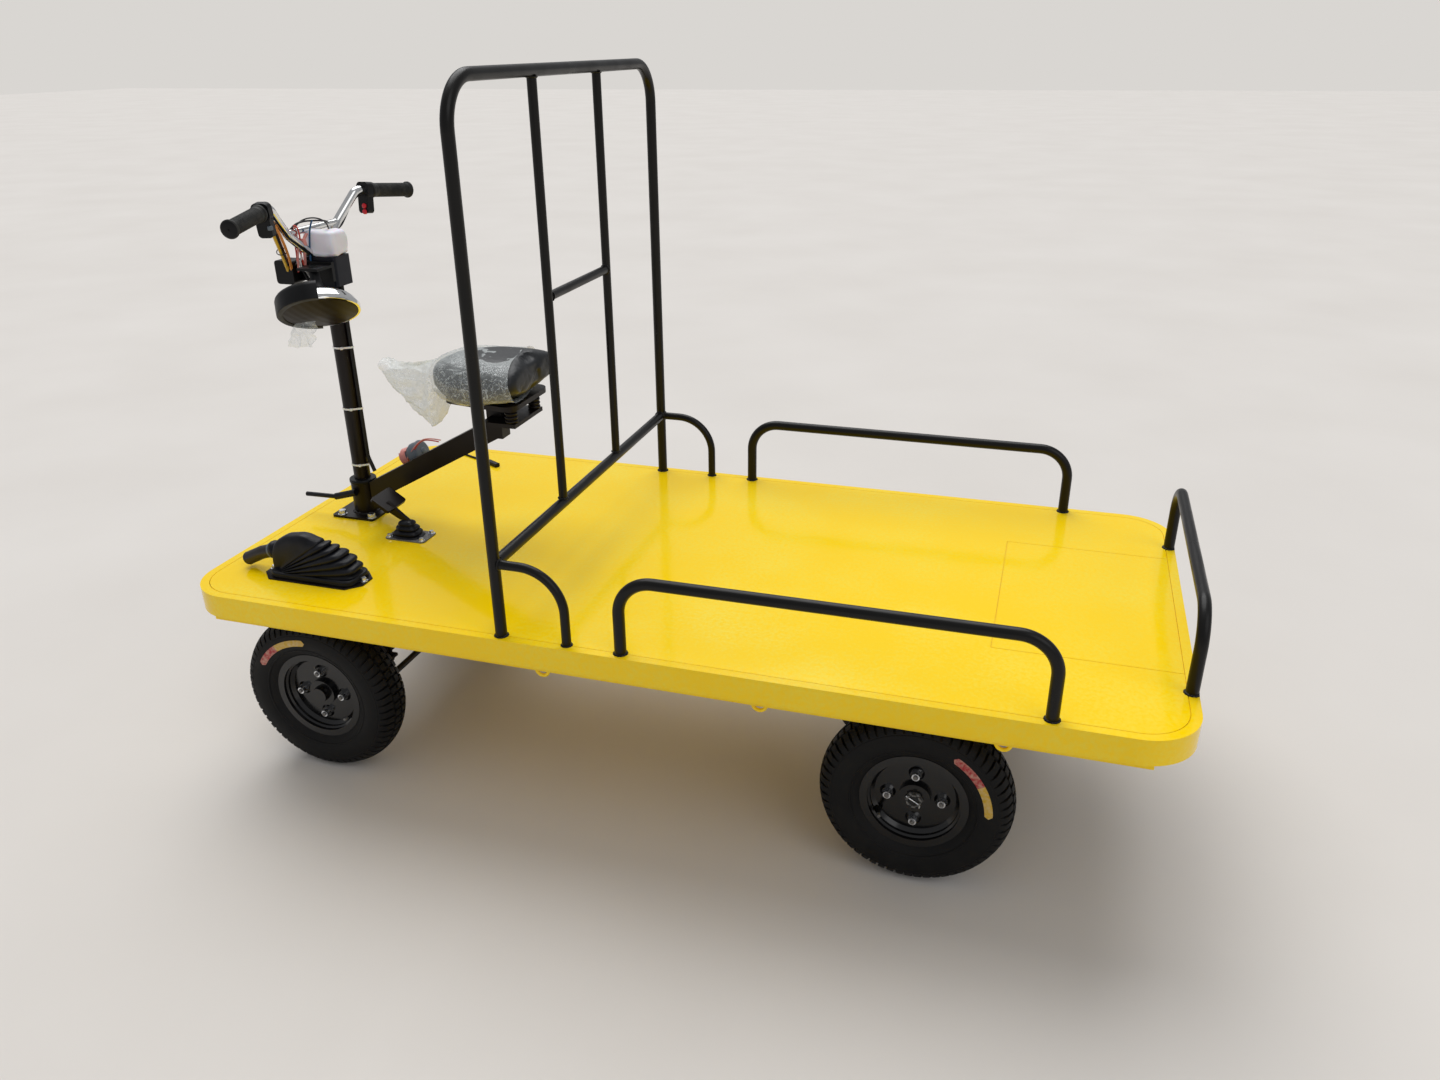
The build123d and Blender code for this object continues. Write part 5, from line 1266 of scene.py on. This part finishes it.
def make_bar_wires():
    """The open wiring of the handlebar: a harness down the near riser, and loose leads over the
    crossbar and down to the lamp and the key block."""
    # Each wire: name, finish, radius and its points in millimetres
    wires = [
        ("harness_yellow", "yellow", 4.6, [
            (948, 186, 1322), (962, 174, 1340), (972, 160, 1316), (979, 138, 1277), (988, 112, 1236),
            (1000, 86, 1200), (1008, 68, 1172),
        ]),
        ("harness_orange", "orange", 3.4, [
            (946, 182, 1318), (955, 168, 1334), (963, 150, 1302), (966, 130, 1272), (978, 100, 1226),
            (992, 78, 1192), (1001, 66, 1168),
        ]),
        ("harness_brown", "brown", 2.6, [
            (950, 178, 1330), (960, 160, 1322), (972, 138, 1288), (984, 108, 1240), (996, 84, 1206),
            (1012, 60, 1180),
        ]),
        ("lead_red", "red", 1.9, [
            (988, 60, 1172), (984, 62, 1200), (981, 64, 1228), (980, 68, 1260), (974, 72, 1284),
            (964, 70, 1282), (962, 66, 1262), (970, 60, 1236), (976, 56, 1212), (978, 50, 1188),
        ]),
        ("lead_pink", "pink", 2.4, [
            (983, 66, 1176), (978, 66, 1206), (974, 64, 1236), (972, 64, 1262), (976, 68, 1282),
            (968, 74, 1278),
        ]),
        ("lead_peach", "pink", 3.6, [
            (976, 46, 1188), (970, 50, 1212), (967, 52, 1234), (966, 48, 1252), (968, 34, 1258),
        ]),
        ("lead_blue", "blue", 2.1, [
            (952, 26, 1290), (955, 32, 1278), (959, 36, 1254), (963, 37.5, 1220), (966, 37.5, 1190),
            (968, 36.8, 1160), (970, 36.8, 1142),
        ]),
        ("lead_white_1", "white", 1.7, [
            (982, 54, 1232), (975, 58, 1218), (976, 56, 1204), (984, 58, 1192), (980, 62, 1180),
            (966, 62, 1178),
        ]),
        ("lead_white_2", "white", 1.5, [
            (974, 52, 1238), (982, 58, 1222), (984, 62, 1206), (974, 62, 1196), (978, 60, 1184),
            (962, 66, 1180), (948, 72, 1172), (930, 84, 1156),
        ]),
        ("lead_white_3", "white", 1.3, [
            (988, 56, 1214), (986, 64, 1196), (976, 66, 1184), (958, 70, 1178), (944, 78, 1166),
            (926, 90, 1152),
        ]),
        ("lead_black_1", "black", 2.2, [
            (980, 92, 1262), (972, 74, 1284), (962, 48, 1290), (950, 20, 1288), (944, -12, 1284),
            (954, -36, 1276),
        ]),
        ("lead_black_2", "black", 1.8, [
            (984, 80, 1256), (974, 62, 1282), (960, 40, 1296), (944, 14, 1294), (940, -14, 1278),
            (948, -26, 1262),
        ]),
        ("lead_black_3", "black", 2.4, [
            (1004, 70, 1180), (990, 58, 1196), (984, 52, 1180), (978, 48, 1160), (966, 50, 1140),
            (948, 60, 1128),
        ]),
        ("lead_black_4", "black", 2.0, [
            (952, 176, 1328), (964, 156, 1306), (976, 128, 1262), (986, 104, 1224), (998, 80, 1190),
        ]),
        ("lead_far", "black", 2.2, [
            (952, -182, 1322), (956, -168, 1322), (962, -140, 1296), (966, -116, 1268), (964, -96, 1256),
            (962, -60, 1250), (960, -34, 1244),
        ]),
    ]
    for name, finish, radius, route in wires:
        points = [Vector(point) * mm for point in route]
        strand(name, points, radius * mm, "steering", wire_finishes[finish])
    plug = rounded_block(
        Vector((0.966, 0.052, 1.242)), (0.2, 0, 1), (0, 1, 0), (9 * mm, 6 * mm, 5 * mm), 0.3, 12, 24,
    )
    piece("wire_plug", plug, "steering", wire_finishes["pink"], 40.0)
    # Bands that hold the harness to the riser
    band_places = [((0.968, 0.150, 1.302), (0.3, -0.7, -0.9)), ((0.990, 0.104, 1.228), (0.3, -0.6, -1.0))]
    bands = [ring_shape(place, along, 11.5 * mm, 1.2 * mm, 32, 8) for place, along in band_places]
    piece("harness_bands", joined(bands), "steering", wire_finishes["black"], 40.0)


make_grips()
make_switch_buttons()
make_foam()
make_bar_wires()


# Lamp

# The middle of the lamp's rim, the way its back points, and a level line across it
lamp_middle = Vector((column_x - 0.047, 0.122, column_top - 0.106))
lamp_back = Vector((0.334, -0.436, 0.836)).normalized()
lamp_across = Vector((0.794, 0.608, 0.0)).normalized()


def make_lamp():
    """The lamp's chrome bowl, the black cowl over its front half with a lip round the lens, and the
    neck to the bracket."""
    bowl = [
        (80.0, -5.4), (90.0, -5.8), (91.0, -5.0), (91.0, 5.0), (90.0, 6.6), (88.0, 9.0), (83.0, 18.0),
        (76.0, 25.5), (66.0, 32.0), (52.0, 37.5), (36.0, 41.5), (18.0, 43.7), (0.5, 44.0),
    ]
    shape = lathe(bowl, lamp_middle, lamp_back, 96)
    made = piece("lamp_bowl", shape, "steering", chrome, 32.0)
    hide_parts("headlight")
    # The cowl's section, round from its outer rim: radius, height over the lamp's rim
    section = [
        (98.0, -6.4), (98.4, 0.0), (98.2, 26.0), (96.6, 31.0), (93.0, 35.5), (86.0, 40.0), (68.0, 46.0),
        (44.0, 50.0), (24.0, 51.5), (24.0, 47.5), (43.0, 46.0), (66.0, 42.0), (82.0, 36.5), (89.5, 31.5),
        (92.0, 25.0), (91.8, -6.2), (84.5, -6.3), (84.5, -7.6), (88.0, -8.2), (96.5, -8.0),
    ]
    side = lamp_across.cross(lamp_back).normalized()
    steps = 64
    points = []
    for radius, height in section:
        for step in range(steps + 1):
            angle = pi * step / steps
            out = side * cos(angle) + lamp_across * sin(angle)
            points.append(lamp_middle + out * radius * mm + lamp_back * height * mm)
    faces = grid_faces(len(section), steps + 1, True, False)
    faces.append(tuple(row * (steps + 1) for row in range(len(section))))
    faces.append(tuple(row * (steps + 1) + steps for row in range(len(section))))
    cowl = piece("lamp_cowl", (points, faces), "steering", black_plastic, 32.0)
    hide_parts("headlight_cowl")
    neck = lathe([
        (26, 42.0), (25, 46.0), (20, 52.0), (16, 60.0), (14, 70.0), (13.4, 78.0),
    ], lamp_middle, lamp_back, 40)
    piece("lamp_neck", neck, "steering", black_plastic, 40.0)


def make_lamp_film():
    """The crumpled scrap of protective film that hangs from the lamp's front edge."""
    top_left, top_right = Vector((0.984, 0.126, 1.064)), Vector((0.912, 0.124, 1.074))
    bottom_left, bottom_right = Vector((0.994, 0.128, 1.006)), Vector((0.926, 0.128, 1.010))
    count = 26
    points = []
    for row in range(count + 1):
        down = row / count
        for column in range(count + 1):
            across = column / count
            top = top_left.lerp(top_right, across)
            bottom = bottom_left.lerp(bottom_right, across)
            point = top.lerp(bottom, down)
            fold = crease(point + Vector((0.3, 0, 0)), 60.0, 1.3)
            point = point + Vector((0.35, 1.0, 0.1)) * fold * 6.5 * mm * min(1.0, down * 3 + 0.2)
            point.z += noise.noise(point * 50.0) * 5 * mm * down
            points.append(point)
    shape = points, grid_faces(count + 1, count + 1, False, False)
    film = piece("lamp_film", shape, "steering", bag_film, 70.0)
    film.data.shade_smooth()


make_lamp()
make_lamp_film()


# Column


def tie_shape(z):
    """A nylon tie drawn tight round the column and its cable, with its lock."""
    cable_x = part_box("column_cable")[1].x - 5 * mm
    big, small = column_radius + 0.3 * mm, 5.3 * mm
    spread = column_x - cable_x
    meet = acos((big - small) / spread)
    loop = []
    column_steps, cable_steps = 40, 12
    for step in range(column_steps + 1):
        loop.append((column_x, big, meet + (2 * pi - 2 * meet) * step / column_steps))
    for step in range(cable_steps + 1):
        loop.append((cable_x, small, -meet + 2 * meet * step / cable_steps))
    points = []
    for rise, grow in ((-2.2, 0.0), (-2.2, 1.5), (2.2, 1.5), (2.2, 0.0)):
        for centre_x, radius, angle in loop:
            reach = radius + grow * mm
            points.append(Vector((centre_x - reach * cos(angle), reach * sin(angle), z + rise * mm)))
    band = points, grid_faces(4, len(loop), True, True)
    lock_place = Vector((column_x - 0.012, column_radius - 1 * mm, z))
    lock = rounded_block(lock_place, (1, 0.5, 0), (0, 0, 1), (3.6 * mm, 3.4 * mm, 3.2 * mm))
    return joined([band, lock])


def make_column_details():
    """Ties round the column, the base plate's bolts, and the bead round the housing's foot."""
    tie_heights = (0.450, 0.291, 0.139)
    ties = [tie_shape(deck_top + height) for height in tie_heights]
    piece("column_ties", joined(ties), "steering", white_nylon, 40.0)
    bolts = [
        bolt_shape(Vector((column_x + dx, dy, deck_top + 6 * mm)), (0, 0, 1), 17.0, 10.0, 12.0)
        for dx in (-0.042, 0.046) for dy in (0.045, -0.066)
    ]
    piece("base_bolts", joined(bolts), "chassis", zinc)
    bead = weld_ring(Vector((column_x, 0, deck_top + 6 * mm)), (0, 0, 1), 32.5 * mm, 4.5 * mm)
    piece("housing_weld", bead, "chassis", steel_paint)
    cap = lathe([
        (33.6, -9.0), (34.2, -8.0), (34.2, -1.0), (33.0, 0.6), (24.0, 1.6), (21.3, 1.7),
    ], Vector((column_x, 0, deck_top + 0.098)), (0, 0, 1), 56)
    piece("housing_cap", cap, "chassis", black_plastic, 40.0)


make_column_details()


# Welds of the tubes


def make_welds():
    """Small beads where the rails and the headboard stand on the deck and meet each other."""
    post = 12.5 * mm
    thin = 10 * mm
    up = (0, 0, 1)
    hoop_low, hoop_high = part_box("headboard_hoop")
    hoop_x = (hoop_low.x + hoop_high.x) / 2
    post_y = hoop_high.y - post
    bars_low, bars_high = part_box("headboard_bars")
    bar_z = bars_low.z + post
    rung_z = deck_top + 0.642
    brace_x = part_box("headboard_braces")[0].x + thin
    beads = []
    for side in (1, -1):
        beads.append(weld_ring(Vector((hoop_x, side * post_y, deck_top)), up, post, 3.4 * mm))
        beads.append(weld_ring(Vector((brace_x, side * post_y, deck_top)), up, thin, 3.0 * mm))
        brace_top = Vector((hoop_x - post + 1 * mm, side * post_y, bar_z))
        beads.append(weld_ring(brace_top, (-1, 0, 0), thin, 3.0 * mm))
        inner = Vector((hoop_x, side * (post_y - post + 1 * mm), bar_z))
        beads.append(weld_ring(inner, (0, -side, 0), post, 2.6 * mm))
        upright_y = side * upright_half
        beads.append(weld_ring(Vector((hoop_x, upright_y, bars_high.z + 1 * mm)), (0, 0, -1), thin, 2.6 * mm))
        beads.append(weld_ring(Vector((hoop_x, upright_y, bar_z + post - 1 * mm)), up, thin, 2.6 * mm))
        rung_end = Vector((hoop_x, side * (upright_half - thin + 1 * mm), rung_z))
        beads.append(weld_ring(rung_end, (0, -side, 0), thin, 2.6 * mm))
    for node in ("side_rail_left", "side_rail_right"):
        low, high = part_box(node)
        y = (low.y + high.y) / 2
        for x in (low.x + post, high.x - post):
            beads.append(weld_ring(Vector((x, y, deck_top)), up, post, 3.4 * mm))
    low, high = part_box("rear_rail")
    for y in (low.y + post, high.y - post):
        points, faces = weld_ring(Vector(((low.x + high.x) / 2, y, deck_top)), up, post, 3.4 * mm)
        for point in points:
            point.x = max(point.x, cad_low[0] + 0.1 * mm)
        beads.append((points, faces))
    piece("tube_welds", joined(beads), "chassis", powder, 50.0)


make_welds()


# Horn and its wires


def make_horn():
    """A pressed horn: a domed cap with a rolled edge, its coil housing and a stud."""
    start_place = Vector((column_x - 0.163, -0.0503, deck_top + 0.170))
    end_place = Vector((column_x - 0.127, -0.0503, deck_top + 0.156))
    axis = end_place - start_place
    profile = [
        (0.5, -3.4), (5.0, -3.2), (9.0, -1.6), (10.0, 0.4), (22.0, 1.4), (27.0, 2.6), (29.4, 4.2),
        (31.0, 6.0), (31.4, 8.0), (30.4, 10.0), (29.2, 10.8), (29.2, 24.0), (28.4, 31.0), (25.4, 35.6),
        (20.0, 38.4), (19.4, 40.0), (19.4, 58.0), (18.6, 62.0), (15.0, 65.6), (5.2, 66.2), (5.2, 67.0),
        (0.5, 67.2),
    ]
    shell = lathe(profile, start_place, axis, 56)
    made = piece("horn_shell", shell, "chassis", grey_plastic, 30.0)
    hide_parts("horn")
    u, v, w = turned_frame(axis)
    coil = []
    turns, per_turn = 5, 14
    coil_radius = 21.6 * mm
    for step in range(turns * per_turn + 1):
        angle = 2 * pi * step / per_turn
        along = (44 + 20 * step / (turns * per_turn)) * mm
        coil.append(start_place + (u * cos(angle) + v * sin(angle)) * coil_radius + w * along)
    strand("horn_coil", coil, 2.0 * mm, "chassis", wire_finishes["pink"])
    leads = [
        ("horn_lead_red", "red", [
            (824, -34, 668), (800, -26, 700), (770, -22, 738), (744, -28, 742), (716, -24, 740),
        ]),
        ("horn_lead_pink", "pink", [
            (836, -36, 660), (812, -26, 692), (780, -23, 730), (748, -22, 750), (708, -22, 746),
        ]),
    ]
    for name, finish, route in leads:
        points = [Vector(point) * mm for point in route]
        strand(name, points, 1.7 * mm, "chassis", wire_finishes[finish])


make_horn()


# Battery


def make_battery_top():
    """Two posts with their cables and six filler caps on the battery, under the hatch."""
    low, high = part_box("battery")
    top = high.z
    middle = (low + high) / 2
    caps = []
    cap_count, cap_pitch = 6, 0.052
    for row in range(cap_count):
        place = Vector((middle.x + 0.06, low.y + 0.07 + row * cap_pitch, top))
        caps.append(lathe([
            (15, 0), (15, 1.0), (13, 1.8), (12.6, 3.4), (11.4, 4.2), (0.6, 4.5),
        ], place, (0, 0, 1), 32))
    piece("filler_caps", joined(caps), "chassis", grey_plastic, 30.0)
    posts = []
    for side, finish in ((1, "red"), (-1, "black")):
        foot = Vector((low.x + 0.045, middle.y + side * 0.14, top))
        posts.append(lathe([
            (14, 0), (14, 1.2), (9.2, 1.8), (8.6, 6.6), (7.8, 7.2),
        ], foot, (0, 0, 1), 32))
        posts.append(ring_shape(foot + Vector((0, 0, 3.8 * mm)), (0, 0, 1), 11.0 * mm, 2.4 * mm, 40, 12))
        route = [
            foot + Vector((0.012, -side * 0.004, 0.0038)), foot + Vector((0.05, -side * 0.008, 0.0036)),
            foot + Vector((0.11, side * 0.006, 0.0034)), foot + Vector((0.18, side * 0.022, 0.0034)),
            foot + Vector((0.235, side * 0.030, 0.0034)), foot + Vector((0.258, side * 0.032, 0.0030)),
            foot + Vector((0.264, side * 0.032, -0.020)),
        ]
        strand(f"battery_cable_{finish}", route, 3.2 * mm, "chassis", wire_finishes[finish])
    piece("battery_posts", joined(posts), "chassis", dull_steel, 35.0)


make_battery_top()
